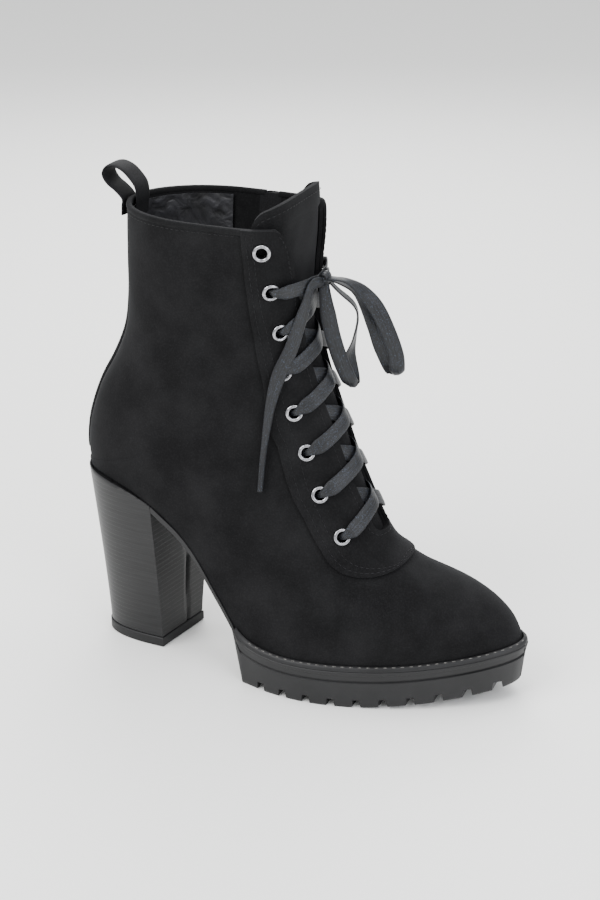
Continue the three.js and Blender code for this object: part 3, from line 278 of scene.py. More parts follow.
def last_point(station, around, grow=0.0):
    """Points of the last's surface, in millimetres in the frame of the tables."""
    station, around, grow = np.broadcast_arrays(
        np.asarray(station, float), np.asarray(around, float), np.asarray(grow, float))
    side = np.where(around < 0, -1, 1)
    here, front, back, foot, girth = sized_section(station, side, grow)
    share = np.abs(around)
    before_widest = share <= 0.5
    angle = np.minimum(share, 0.5) * math.pi
    power = 2 / here[..., ROUNDNESS]
    depth_a = here[..., WIDEST] * (1 - np.maximum(np.cos(angle), 0) ** power)
    width_a = girth * np.maximum(np.sin(angle), 0) ** power
    tuck = np.sqrt(np.maximum(1 - (foot / girth) ** 2, 1e-9))
    turn = np.maximum(share - 0.5, 0) * 2 * np.arcsin(tuck)
    depth_b = here[..., WIDEST] + (1 - here[..., WIDEST]) * np.sin(turn) / tuck
    width_b = girth * np.cos(turn)
    depth = np.where(before_widest, depth_a, depth_b)
    width = np.where(before_widest, width_a, width_b)
    spot = front + (back - front) * depth[..., None]
    return np.stack([spot[..., 0], here[..., SWING] + side * width, spot[..., 1]], -1)


def relief(station, around):
    """Soft troughs and ridges of the worn-in suede, in millimetres out of the surface."""
    height = np.zeros(np.broadcast(station, around).shape)
    for level_a, round_a, level_b, round_b, depth, half_width in CREASES:
        start = np.array([station_at_level(level_a) * STATION_LENGTH, round_a * ROUND_LENGTH])
        end = np.array([station_at_level(level_b) * STATION_LENGTH, round_b * ROUND_LENGTH])
        run = end - start
        place = np.stack(np.broadcast_arrays(station * STATION_LENGTH, around * ROUND_LENGTH), -1) - start
        share = np.clip(place @ run / (run @ run), 0, 1)
        off = np.linalg.norm(place - share[..., None] * run, axis=-1)
        fade = np.sin(np.clip(share, 0.02, 0.98) * math.pi) ** 0.5
        height += depth * fade * np.exp(-((off / half_width) ** 2))
    return height * scene_sizes().crease_depth


def surface(station, around, grow=0.0):
    """Points over the creased last, in millimetres in the shared frame."""
    station, around = np.asarray(station, float), np.asarray(around, float)
    return last_point(station, around, grow + relief(station, around)) + CENTRE


def surface_frames(station, around, grow=0.0):
    """Points, outward normals and directions down the last."""
    station, around = np.asarray(station, float), np.asarray(around, float)
    point = surface(station, around, grow)
    down = unit(surface(station + STEP, around, grow) - point)
    across = unit(surface(station, around + STEP, grow) - point)
    return point, unit(np.cross(down, across)), down


def solve(measure, value, low, high):
    """Where a falling measure reaches a value."""
    value = np.asarray(value, float)
    low, high = np.full(value.shape, float(low)), np.full(value.shape, float(high))
    for _ in range(SOLVE_STEPS):
        middle = (low + high) / 2
        above = measure(middle) > value
        low, high = np.where(above, middle, low), np.where(above, high, middle)
    return (low + high) / 2


def level_height(level):
    """A level's height in millimetres."""
    level = np.asarray(level, float)
    below_seat = PLATFORM + (SEAT_HEIGHT - PLATFORM) * level
    return np.where(level <= 1, below_seat, SEAT_HEIGHT + SHAFT * (level - 1))


def height_level(z):
    """The level at a height."""
    below_seat = (z - PLATFORM) / (SEAT_HEIGHT - PLATFORM)
    return np.where(z <= SEAT_HEIGHT, below_seat, 1 + (z - SEAT_HEIGHT) / SHAFT)


def station_at_level(level):
    """The station whose front lies at a level."""
    return solve(lambda t: section_rows(t)[..., FRONT_Z], level_height(level), FIRST_STATION, LAST_ROW)


def station_at_sole(x):
    """The station whose foot lies at a distance from the heel end."""
    return solve(lambda t: -section_rows(t)[..., BACK_X], -np.asarray(x, float), SEAT_ROW, LAST_ROW)


def edge_half(level, column):
    """How far round an eyestay edge lies at a level."""
    return np.interp(level, EYESTAY_EDGES[::-1, 0], EYESTAY_EDGES[::-1, column])


def corner_share(station):
    """How much further round the throat's edge lies where the facing's top corner is rounded."""
    drop = np.clip((COLLAR - section_rows(station)[..., FRONT_Z]) / CORNER_ROUND, 0, 1)
    return CORNER_ROUND / ROUND_LENGTH * (1 - np.sqrt(np.maximum(1 - (1 - drop) ** 2, 0)))


def edge_place(progress, column, end):
    """A place on an eyestay edge: progress 0 at the collar, 1 on the centre line at its round end."""
    progress = np.asarray(progress, float)
    straight = progress < STRAIGHT_SHARE
    level_a = 2 + (ARC_LEVEL - 2) * progress / STRAIGHT_SHARE
    angle = np.clip((progress - STRAIGHT_SHARE) / (1 - STRAIGHT_SHARE), 0, 1) * math.pi / 2
    level_b = ARC_LEVEL + (end - ARC_LEVEL) * np.sin(angle)
    round_half = edge_half(ARC_LEVEL, column) * np.maximum(np.cos(angle), 0) ** END_ROUND
    station = station_at_level(np.where(straight, level_a, level_b))
    half = np.where(straight, edge_half(level_a, column), round_half)
    return station, half + (corner_share(station) if column == THROAT else 0)


def throat_half(station):
    """How far round the throat's edge lies at a station, 0 below the throat."""
    level = height_level(section_rows(station)[..., FRONT_Z])
    share = np.clip((ARC_LEVEL - level) / (ARC_LEVEL - THROAT_END), 0, 1)
    round_half = edge_half(ARC_LEVEL, THROAT) * np.maximum(1 - share**2, 0) ** (END_ROUND / 2)
    return np.where(level >= ARC_LEVEL, edge_half(level, THROAT) + corner_share(station), round_half)


def bed_height(station):
    """Height of the sole's bed under a section."""
    return section_rows(station)[..., BACK_Z]


def sole_place(station, side, outset, z):
    """A point beside the sole's outline."""
    station, side, outset, z = np.broadcast_arrays(station, side, outset, z)
    here, _, back, foot, _ = sized_section(station.astype(float), side, outset.astype(float))
    return np.stack([back[..., 0], here[..., SWING] + side * foot, z], -1) + CENTRE


def zip_x(z):
    """Distance from the heel end of the zip's line at a height."""
    return (ZIP_FOOT_X + (ZIP_TOP_X - ZIP_FOOT_X) * (z - ZIP_FOOT) / (COLLAR - ZIP_FOOT)) * LENGTH


def zip_place(z, beside=0.0):
    """Station and place round the section where the zip's line passes a height, moved sideways."""
    z, beside = np.broadcast_arrays(np.asarray(z, float), np.asarray(beside, float))
    around = np.full(z.shape, 0.5)
    # Each of the two is solved with the other held, until both stay where they are
    for _ in range(PLACE_STEPS):
        station = solve(lambda t: last_point(t, around)[..., 2], z, FIRST_STATION, 20)
        around = solve(lambda a: last_point(station, a)[..., 0], zip_x(z) + beside, 0.3, 0.98)
    return station, around


# ---- Modelling helpers ----

def scene_sizes():
    """The sizes of the sidebar, in metres."""
    return bpy.context.scene.boot_sizes


def scene_colours():
    """The colours of the sidebar, as sRGB hex."""
    return bpy.context.scene.boot_colours


def mm(name):
    """A size of the sidebar, in millimetres."""
    return getattr(scene_sizes(), name) / MM


def deselect():
    """Nothing selected, outside edit mode."""
    if bpy.context.object and bpy.context.object.mode != "OBJECT":
        bpy.ops.object.mode_set(mode="OBJECT")
    bpy.ops.object.select_all(action="DESELECT")


def work_on(piece):
    """Only this piece selected, and active."""
    deselect()
    piece.select_set(True)
    bpy.context.view_layer.objects.active = piece


def coordinates(piece):
    """Places of the vertices, in metres."""
    values = np.empty(len(piece.data.vertices) * 3)
    piece.data.vertices.foreach_get("co", values)
    return values.reshape(-1, 3)


def place_vertices(piece, points):
    """Vertices go to points given in millimetres."""
    piece.data.vertices.foreach_set("co", np.ascontiguousarray(points * MM).ravel())
    piece.data.update()


def tidy_mesh(piece, closed):
    """Doubles merged and normals recalculated. An open sheet keeps the side that was outside."""
    mesh = piece.data
    areas = np.empty(len(mesh.polygons))
    mesh.polygons.foreach_get("area", areas)
    widest = mesh.polygons[int(areas.argmax())]
    centre, normal = widest.center.copy(), widest.normal.copy()
    work_on(piece)
    bpy.ops.object.mode_set(mode="EDIT")
    bpy.ops.mesh.select_all(action="SELECT")
    bpy.ops.mesh.remove_doubles(threshold=1e-5)
    bpy.ops.mesh.dissolve_degenerate(threshold=1e-6)
    bpy.ops.mesh.select_all(action="SELECT")
    bpy.ops.mesh.normals_make_consistent(inside=False)
    bpy.ops.object.mode_set(mode="OBJECT")
    if not closed:
        nearest = min(mesh.polygons, key=lambda p: (p.center - centre).length_squared)
        if nearest.normal.dot(normal) < 0:
            bpy.ops.object.mode_set(mode="EDIT")
            bpy.ops.mesh.select_all(action="SELECT")
            bpy.ops.mesh.flip_normals()
            bpy.ops.object.mode_set(mode="OBJECT")


def wrap(name, points, closed=False, drop=None):
    """A grid bent over rows of points. Its UV map is in metres. drop marks cells to leave out."""
    rows, columns = points.shape[:2]
    deselect()
    bpy.ops.mesh.primitive_grid_add(x_subdivisions=columns - 1, y_subdivisions=rows - 1, size=1)
    piece = bpy.context.object
    piece.name = piece.data.name = name
    place_vertices(piece, points[::-1].reshape(-1, 3))
    wide = np.linalg.norm(np.diff(points, axis=1), axis=-1).sum(1).max() * MM
    long = np.linalg.norm(np.diff(points, axis=0), axis=-1).sum(0).max() * MM
    layer = piece.data.uv_layers.active.data
    places = np.empty(len(layer) * 2)
    layer.foreach_get("uv", places)
    layer.foreach_set("uv", (places.reshape(-1, 2) * (wide, long)).ravel())
    if drop is not None:
        bpy.ops.object.mode_set(mode="EDIT")
        bpy.ops.mesh.select_mode(type="FACE")
        bpy.ops.mesh.select_all(action="DESELECT")
        bpy.ops.object.mode_set(mode="OBJECT")
        # The grid's own rows start at the last row of points
        for face in piece.data.polygons:
            corner = min(face.vertices)
            face.select = bool(drop[rows - 2 - corner // columns, corner % columns])
        bpy.ops.object.mode_set(mode="EDIT")
        bpy.ops.mesh.delete(type="FACE")
        bpy.ops.mesh.select_mode(type="VERT")
        bpy.ops.object.mode_set(mode="OBJECT")
    tidy_mesh(piece, closed)
    return piece


def capped(rings):
    """Rows of rings with a row at each end that closes them on their middle."""
    ends = [np.repeat(ring.mean(0)[None], len(ring), 0)[None] for ring in (rings[0, :-1], rings[-1, :-1])]
    close = lambda end: np.concatenate([end, end[:, :1]], 1)
    return np.concatenate([close(ends[0]), rings, close(ends[1])])


def apply(piece, kind, **settings):
    """A modifier with its settings, applied at once."""
    work_on(piece)
    modifier = piece.modifiers.new(kind.title(), kind)
    for name, value in settings.items():
        setattr(modifier, name, value)
    bpy.ops.object.modifier_apply(modifier=modifier.name)


def thicken(piece, thickness, inner=0):
    """A wall in millimetres, inwards from the sheet. Its inner face may have a material of its own."""
    apply(piece, "SOLIDIFY", thickness=thickness * MM, offset=-1, material_offset=inner,
          use_quality_normals=True)


def round_edges(piece, width, segments, angle):
    """Edges sharper than an angle in degrees, rounded over a width in millimetres."""
    apply(piece, "BEVEL", width=width * MM, segments=segments, limit_method="ANGLE",
          angle_limit=math.radians(angle), harden_normals=False)


def carve(piece, cutter):
    """Cuts one closed mesh out of another. The cutter is used up."""
    before = len(piece.data.vertices)
    for solver in ("MANIFOLD", "EXACT"):
        apply(piece, "BOOLEAN", operation="DIFFERENCE", object=cutter, solver=solver)
        if len(piece.data.vertices) != before:
            break
    else:
        raise RuntimeError(f"{piece.name} couldn't be cut")
    bpy.data.objects.remove(cutter)


def merge(pieces, name):
    """Pieces joined in one mesh."""
    deselect()
    for piece in pieces:
        piece.select_set(True)
    bpy.context.view_layer.objects.active = pieces[0]
    bpy.ops.object.join()
    pieces[0].name = pieces[0].data.name = name
    return pieces[0]


def finish_piece(piece, slot_name, *makers, nodes=(), body="boot", angle=40):
    """Materials, smooth shading, body and the solids that the piece takes the place of. slot_name is not
    used.
    """
    kept = np.empty(len(piece.data.polygons), dtype=np.int32)
    piece.data.polygons.foreach_get("material_index", kept)
    piece.data.materials.clear()
    for maker in makers:
        piece.data.materials.append(get_material(maker))
    piece.data.polygons.foreach_set("material_index", np.minimum(kept, len(makers) - 1))
    work_on(piece)
    bpy.ops.object.shade_smooth_by_angle(angle=math.radians(angle))
    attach(piece, body)
    if nodes:
        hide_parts(*nodes)


def smooth_line(points, count):
    """Points spread evenly on a smooth curve through the given ones."""
    spans = len(points) - 1
    steps = np.linspace(0, spans, 24 * spans + 1)
    i = np.minimum(steps.astype(int), spans - 1)
    f = (steps - i)[:, None]
    here, after = points[i], points[i + 1]
    before = np.where(i[:, None] > 0, points[np.maximum(i - 1, 0)], 2 * here - after)
    far = np.where(i[:, None] + 2 <= spans, points[np.minimum(i + 2, spans)], 2 * after - here)
    return even_line(curve_between(before, here, after, far, f), count)


def line_length(points):
    """Length of a line through points."""
    return float(np.linalg.norm(np.diff(points, axis=0), axis=1).sum())


def even_line(points, count):
    """Places at even distances along a line of points, and what else its columns hold there."""
    travelled = np.concatenate([[0], np.cumsum(np.linalg.norm(np.diff(points[:, :3], axis=0), axis=1))])
    marks = np.linspace(0, travelled[-1], count)
    return np.stack([np.interp(marks, travelled, column) for column in points.T], -1)


def band(name, centres, across, width, thickness, sides=18, cup=0.0):
    """A ribbon along a line. across is its width direction at each point, and cup bends its edges down."""
    along = unit(np.gradient(centres, axis=0))
    side = unit(across - along * np.sum(across * along, -1, keepdims=True))
    up = np.cross(along, side)
    # The cross-section is a flat oval with blunt edges
    angle = np.linspace(0, 2 * math.pi, sides + 1)
    wide = np.sign(np.cos(angle)) * np.abs(np.cos(angle)) ** 0.55
    deep = np.sign(np.sin(angle)) * np.abs(np.sin(angle)) ** 0.75
    half_width = np.broadcast_to(width, len(centres))[:, None, None] / 2
    half_depth = np.broadcast_to(thickness, len(centres))[:, None, None] / 2
    bend = np.broadcast_to(cup, len(centres))[:, None, None] * (wide**2)[None, :, None]
    rings = (
        centres[:, None] + side[:, None] * wide[None, :, None] * half_width
        + up[:, None] * (deep[None, :, None] * half_depth - bend)
    )
    return wrap(name, capped(rings), closed=True)


def ring_solid(name, rings):
    """A closed solid through rings of points."""
    return wrap(name, capped(np.concatenate([rings, rings[:, :1]], 1)), closed=True)


def corners(x_low, x_high, y_low, y_high, z):
    """Four corners at a height, in turn around."""
    return np.array([(x_low, y_low, z), (x_high, y_low, z), (x_high, y_high, z), (x_low, y_high, z)], float)


def prism_block(name, low_corners, high_corners):
    """A cube with its corners moved: four below and four above."""
    deselect()
    bpy.ops.mesh.primitive_cube_add(size=2)
    made = bpy.context.object
    made.name = made.data.name = name
    turn = {(-1, -1): 0, (1, -1): 1, (1, 1): 2, (-1, 1): 3}
    place_vertices(made, np.array([
        (low_corners if z < 0 else high_corners)[turn[(round(x), round(y))]] for x, y, z in coordinates(made)
    ]))
    tidy_mesh(made, True)
    return made


def block(name, low, high, bevel, segments=3):
    """A rounded block between two corners, in millimetres."""
    sides = low[0], high[0], low[1], high[1]
    made = prism_block(name, corners(*sides, low[2]), corners(*sides, high[2]))
    round_edges(made, bevel, segments, 30)
    return made


def put_in_frame(piece, axes, origin):
    """Turns a piece's own axes to the columns of a matrix and moves it to an origin in millimetres."""
    place_vertices(piece, (coordinates(piece) / MM) @ axes.T + origin)


def copies(name, model, axes, origins):
    """One mesh of copies of a model, each turned and moved as put_in_frame does. The model is used up."""
    points = coordinates(model) / MM
    faces = [tuple(face.vertices) for face in model.data.polygons]
    placed = np.einsum("kij,vj->kvi", axes, points) + origins[:, None]
    offsets = (np.arange(len(origins)) * len(points)).tolist()
    mesh = bpy.data.meshes.new(name)
    mesh.from_pydata((placed.reshape(-1, 3) * MM).tolist(), [],
                     [tuple(v + offset for v in face) for offset in offsets for face in faces])
    piece = bpy.data.objects.new(name, mesh)
    bpy.context.collection.objects.link(piece)
    bpy.data.objects.remove(model)
    return piece


def stitch_rows(name, rows, length=2.1, width=0.42, pitch=2.8, height=0.3):
    """Rows of stitches along lines of points with normals, all copies of one stitch."""
    deselect()
    bpy.ops.mesh.primitive_uv_sphere_add(segments=8, ring_count=6, radius=1)
    model = bpy.context.object
    place_vertices(model, coordinates(model) * (length / 2, width / 2, height / 2))
    axes, origins = [], []
    for points, normals in rows:
        count = max(int(line_length(points) / pitch), 2)
        spread = even_line(np.concatenate([points, normals], 1), count + 1)
        along = unit(spread[1:, :3] - spread[:-1, :3])
        side = unit(np.cross(spread[1:, 3:] + spread[:-1, 3:], along))
        axes.append(np.stack([along, side, np.cross(along, side)], -1))
        origins.append((spread[1:, :3] + spread[:-1, :3]) / 2)
    return copies(name, model, np.concatenate(axes), np.concatenate(origins))


def stand(name, data, place, aim):
    """A camera or light that looks from a place at an aim, in metres."""
    made = bpy.data.objects.new(name, data)
    bpy.context.collection.objects.link(made)
    made.location = place
    made.rotation_euler = (Vector(aim) - Vector(place)).to_track_quat("-Z", "Y").to_euler()
    return made


def surface_row(station, around, grow):
    """A line on the last with its normals, for stitches."""
    return surface_frames(station, around, grow)[:2]


# ---- Materials ----

# A wave texture repeats every WAVE_LENGTH / scale metres
WAVE_LENGTH = 0.314
# Length of a lighter patch where a nap was stroked, in metres
STROKED_PATCH = 0.026


def linear(hex_colour):
    """An sRGB hex colour as linear light."""
    values = [int(hex_colour.lstrip("#")[k:k + 2], 16) / 255 for k in (0, 2, 4)]
    return tuple(v / 12.92 if v <= 0.04045 else ((v + 0.055) / 1.055) ** 2.4 for v in values) + (1.0,)


def fill_sockets(node, inputs):
    """Sets a node's inputs. Each is a value or another node's output, which is linked."""
    for name, value in inputs.items():
        if isinstance(value, bpy.types.NodeSocket):
            node.id_data.links.new(value, node.inputs[name])
        else:
            node.inputs[name].default_value = value


def add_node(material, kind, inputs=None, **settings):
    """One node with its settings and links."""
    made = material.node_tree.nodes.new(kind)
    for name, value in settings.items():
        setattr(made, name, value)
    fill_sockets(made, inputs or {})
    return made


def new_material(name, inputs):
    """A material with constants on the shader's own sockets."""
    material = bpy.data.materials.new(name)
    material.use_nodes = True
    fill_sockets(material.node_tree.nodes["Principled BSDF"], inputs)
    return material


def blend_colours(material, pattern, first, second, low=0.35, high=0.65):
    """Two sRGB hex colours mixed by a pattern's value between a low and a high one."""
    share = add_node(material, "ShaderNodeMapRange", {"Value": pattern, "From Min": low, "From Max": high})
    return add_node(material, "ShaderNodeMix", {
        0: share.outputs["Result"], 6: linear(first), 7: linear(second)}, data_type="RGBA").outputs[2]


def cover(material, relief, depth, strength, inputs):
    """A surface with fine relief, its depth in metres, and with the colour and finish that vary over it."""
    bump = add_node(material, "ShaderNodeBump", {"Height": relief, "Distance": depth, "Strength": strength})
    inputs["Normal"] = bump.outputs["Normal"]
    fill_sockets(material.node_tree.nodes["Principled BSDF"], inputs)
    return material


def napped(name, dark, light, nap, depth, roughness, sheen):
    """A napped cloth: fibres that catch the light, in soft lighter patches where the nap was stroked."""
    material = new_material(name, {
        "Roughness": roughness, "Sheen Weight": sheen, "Sheen Roughness": 0.45,
        "Sheen Tint": linear("#8c8e93"), "Specular IOR Level": 0.12})
    place = add_node(material, "ShaderNodeTexCoord").outputs["Object"]
    clouds = add_node(material, "ShaderNodeTexNoise", {
        "Vector": place, "Scale": 1 / STROKED_PATCH, "Detail": 4.0, "Roughness": 0.6})
    fibres = add_node(material, "ShaderNodeTexNoise", {
        "Vector": place, "Scale": 1 / nap, "Detail": 3.0}).outputs["Fac"]
    colour = add_node(material, "ShaderNodeMix", {
        0: 0.45, 6: blend_colours(material, clouds.outputs["Fac"], dark, light, 0.38, 0.66),
        7: blend_colours(material, fibres, dark, light, 0.45, 0.75)}, data_type="RGBA")
    return cover(material, fibres, depth, 0.6, {"Base Color": colour.outputs[2]})


def microfibre_suede():
    """Sueded microfibre, brushed: matt and nearly black, with a short nap that lightens in patches."""
    dark, light = scene_colours().suede, scene_colours().suede_light
    return napped("microfibre suede, brushed", dark, light, 0.0008, 0.00012, 0.95, 0.07)


def pile_lining():
    """Short-pile knitted lining: a coarser, softer nap than the suede's, and a little lighter."""
    return napped("short-pile lining, knitted", scene_colours().lining, "#262627", 0.0015, 0.0003, 0.97, 0.2)


def coated_lining():
    """Coated lining inside the back: black with a slight shine that breaks up over shallow wrinkles, with
    painted highlight on their crests and painted shade in their troughs.
    """
    material = new_material("coated lining, wrinkled, painted highlight and shade", {"Roughness": 0.42})
    place = add_node(material, "ShaderNodeTexCoord").outputs["Object"]
    wrinkles = add_node(material, "ShaderNodeTexNoise", {
        "Vector": place, "Scale": 130.0, "Detail": 3.0, "Distortion": 0.8}).outputs["Fac"]
    # Painted highlight and shade: the colour is lighter where the wrinkles stand high and darker in their
    # troughs
    colour = blend_colours(material, wrinkles, "#161617", "#303033")
    return cover(material, wrinkles, 0.0012, 0.8, {"Base Color": colour})


def moulded_rubber(name, colour, light, roughness):
    """Rubber with a satin skin and faint handling scuffs."""
    material = new_material(name, {"Specular IOR Level": 0.28, "IOR": 1.5})
    place = add_node(material, "ShaderNodeTexCoord").outputs["Object"]
    bloom = add_node(material, "ShaderNodeTexNoise", {
        "Vector": place, "Scale": 38.0, "Detail": 5.0, "Roughness": 0.65}).outputs["Fac"]
    grain = add_node(material, "ShaderNodeTexNoise", {"Vector": place, "Scale": 1400.0, "Detail": 2.0})
    dull = add_node(material, "ShaderNodeMapRange", {
        "Value": bloom, "From Min": 0.35, "From Max": 0.7,
        "To Min": roughness - 0.07, "To Max": roughness + 0.1})
    return cover(material, grain.outputs["Fac"], 0.00006, 0.5, {
        "Base Color": blend_colours(material, bloom, colour, light, 0.4, 0.7),
        "Roughness": dull.outputs["Result"]})


def sole_rubber():
    """Thermoplastic rubber, moulded: dark grey and satin, for the platform, the waist and the welt."""
    return moulded_rubber("thermoplastic rubber, moulded", scene_colours().rubber, "#1e1e1f", 0.48)


def lift_rubber():
    """Hard rubber, cut: the top lift, a little duller than the sole."""
    return moulded_rubber("hard rubber top lift, cut", "#131314", "#1d1d1e", 0.55)


def stacked_board():
    """Stacked heel board, lacquered: charcoal with a satin shine and thin dark lines between its layers."""
    material = new_material("stacked heel board, lacquered", {"Roughness": 0.4, "Specular IOR Level": 0.26})
    place = add_node(material, "ShaderNodeTexCoord").outputs["Object"]
    layer = 0.0026
    layers = add_node(material, "ShaderNodeTexWave", {
        "Vector": place, "Scale": WAVE_LENGTH / layer, "Distortion": 0.25, "Detail": 1.0,
        "Detail Scale": 0.02}, bands_direction="Z", wave_profile="SAW")
    drawn_out = add_node(material, "ShaderNodeMapping", {"Vector": place, "Scale": (60.0, 60.0, 700.0)})
    grain = add_node(material, "ShaderNodeTexNoise", {
        "Vector": drawn_out.outputs["Vector"], "Scale": 1.0, "Detail": 4.0})
    board = blend_colours(material, grain.outputs["Fac"], scene_colours().heel, "#1a1a1b", 0.35, 0.7)
    seam = add_node(material, "ShaderNodeMapRange", {
        "Value": layers.outputs["Fac"], "From Max": 0.16}).outputs["Result"]
    colour = add_node(material, "ShaderNodeMix", {0: seam, 6: linear("#060606"), 7: board}, data_type="RGBA")
    return cover(material, seam, 0.00012, 0.5, {"Base Color": colour.outputs[2]})


def satin_ribbon():
    """Polyester satin ribbon with metallised thread: charcoal with a soft shine and cool blue glints."""
    material = new_material("satin ribbon with metallised thread", {
        "Roughness": 0.42, "Anisotropic": 0.35, "Specular IOR Level": 0.3})
    places = add_node(material, "ShaderNodeTexCoord").outputs
    # Warp threads a little coarser than the real ones, so that they show
    warp = 0.00045
    weave = add_node(material, "ShaderNodeTexWave", {
        "Vector": places["UV"], "Scale": WAVE_LENGTH / warp, "Distortion": 0.6, "Detail": 1.0},
        bands_direction="X").outputs["Fac"]
    glints = add_node(material, "ShaderNodeTexVoronoi", {"Vector": places["Object"], "Scale": 4200.0})
    bright = add_node(material, "ShaderNodeSeparateColor", {"Color": glints.outputs["Color"]})
    spark = add_node(material, "ShaderNodeMapRange", {
        "Value": bright.outputs[0], "From Min": 0.9, "From Max": 0.99, "To Max": 0.5}).outputs["Result"]
    cloth = blend_colours(material, weave, scene_colours().lace, "#17181b", 0.2, 0.9)
    colour = add_node(material, "ShaderNodeMix", {0: spark, 6: cloth, 7: linear("#5b6577")}, data_type="RGBA")
    return cover(material, weave, 0.00008, 0.6, {"Base Color": colour.outputs[2], "Metallic": spark})


def nickel_plate():
    """Nickel-plated brass, polished: a bright, slightly warm mirror with fine handling marks."""
    material = new_material("nickel plate, polished", {"Metallic": 1.0})
    place = add_node(material, "ShaderNodeTexCoord").outputs["Object"]
    marks = add_node(material, "ShaderNodeTexNoise", {
        "Vector": place, "Scale": 900.0, "Detail": 3.0}).outputs["Fac"]
    dull = add_node(material, "ShaderNodeMapRange", {
        "Value": marks, "From Min": 0.3, "From Max": 0.7, "To Min": 0.16, "To Max": 0.3})
    fill_sockets(material.node_tree.nodes["Principled BSDF"], {
        "Base Color": blend_colours(material, marks, scene_colours().nickel, "#7c7c80"),
        "Roughness": dull.outputs["Result"]})
    return material


def polyester(name, colour, light, roughness, thread):
    """Yarn, tape or moulded monofilament: fine twist with a slight gloss."""
    material = new_material(name, {"Roughness": roughness, "Specular IOR Level": 0.14})
    place = add_node(material, "ShaderNodeTexCoord").outputs["Object"]
    twist = add_node(material, "ShaderNodeTexNoise", {
        "Vector": place, "Scale": 1 / thread, "Detail": 2.0}).outputs["Fac"]
    return cover(material, twist, 0.00005, 0.5, {"Base Color": blend_colours(material, twist, colour, light)})


def black_thread():
    """Bonded polyester sewing thread, dyed to the suede and a little glossier."""
    return polyester("sewing thread, black", scene_colours().thread, "#1c1c1e", 0.6, 0.0006)


def welt_thread():
    """Waxed welt thread: grey dashes in the dark crease."""
    return polyester("welt thread, waxed", scene_colours().welt_thread, "#6a6966", 0.6, 0.0006)


def nylon_coil():
    """Nylon coil: black monofilament with a gloss on each turn."""
    return polyester("nylon zip coil, moulded", "#0a0a0b", "#141416", 0.32, 0.0012)


def grosgrain():
    """Woven tape: ribbed black polyester, for the pull loop and behind the zip."""
    return polyester("pull tape, woven", "#0e0e0f", "#19191b", 0.75, 0.0007)


def get_material(maker):
    """Each material is made once."""
    key = "boot_" + maker.__name__
    if key not in bpy.context.scene:
        bpy.context.scene[key] = maker().name
    return bpy.data.materials[bpy.context.scene[key]]


# ---- Pieces ----

class BOOT_OT_camera(bpy.types.Operator):
    """Camera at the photograph's angle: on the lateral side, in front and above"""

    bl_idname = "boot.camera"
    bl_label = "Add camera"
    bl_options = {"REGISTER", "UNDO"}

    def execute(self, context):
        data = bpy.data.cameras.new("Camera")
        data.lens = 66.0
        data.sensor_width = 36.0
        data.clip_start = 0.01
        camera = stand("Camera", data, (0.29235, -0.68159, 0.4546), (0.0, 0.0, 0.118))
        context.scene.camera = camera
        return {"FINISHED"}


def tie_knot():
    """The bow's knot: ribbon wound twice over a core."""
    deselect()
    bpy.ops.mesh.primitive_uv_sphere_add(segments=24, ring_count=16, radius=1)
    core = bpy.context.object
    place_vertices(core, coordinates(core) * (2.0, 3.1, 2.8) + KNOT_PLACE)
    parts = [core]
    angle = np.linspace(0, 2 * math.pi, 41)[:, None]
    for radius_x, radius_z, tilt, width in ((2.1, 2.8, 8.0, 5.6), (2.35, 2.6, -38.0, 4.6)):
        tilt = math.radians(tilt)
        forwards, upwards = np.array([1.0, 0, 0]), np.array([0.0, -math.sin(tilt), math.cos(tilt)])
        centres = KNOT_PLACE + np.cos(angle) * radius_x * forwards + np.sin(angle) * radius_z * upwards
        across = np.tile((0.0, math.cos(tilt), math.sin(tilt)), (len(centres), 1))
        parts.append(band("coil", centres, across, width, 1.2, cup=-0.3))
    return merge(parts, "bow_knot_ribbon")


def loop_line(table):
    """The middle line of a loop and its ribbon's width direction."""
    # Both ends of the loop run on into the knot
    table = np.concatenate([[table[0] * (0.3, 0.3, 0.3, 1)], table, [table[-1] * (0.3, 0.3, 0.3, 1)]])
    turn = np.radians(table[:, 3:])
    across = ACROSS_VIEW * np.cos(turn) + INTO_VIEW * np.sin(turn)
    points = KNOT_PLACE + table[:, :3] * mm("lace_width")
    return smooth_line(np.concatenate([points, across], 1), CORD_POINTS)


def end_line(side, rows):
    """The middle line of a free end over the last and its ribbon's width direction."""
    level, around, out = LACE_END[:rows].T
    points, normals, _ = surface_frames(station_at_level(level), side * around, out)
    points = np.concatenate([[KNOT_PLACE + (0.6, side * 0.9, -1.4)], points])
    normals = np.concatenate([normals[:1], normals])
    across = np.cross(normals, unit(np.gradient(points, axis=0)))
    return smooth_line(np.concatenate([points, across], 1), CORD_POINTS)


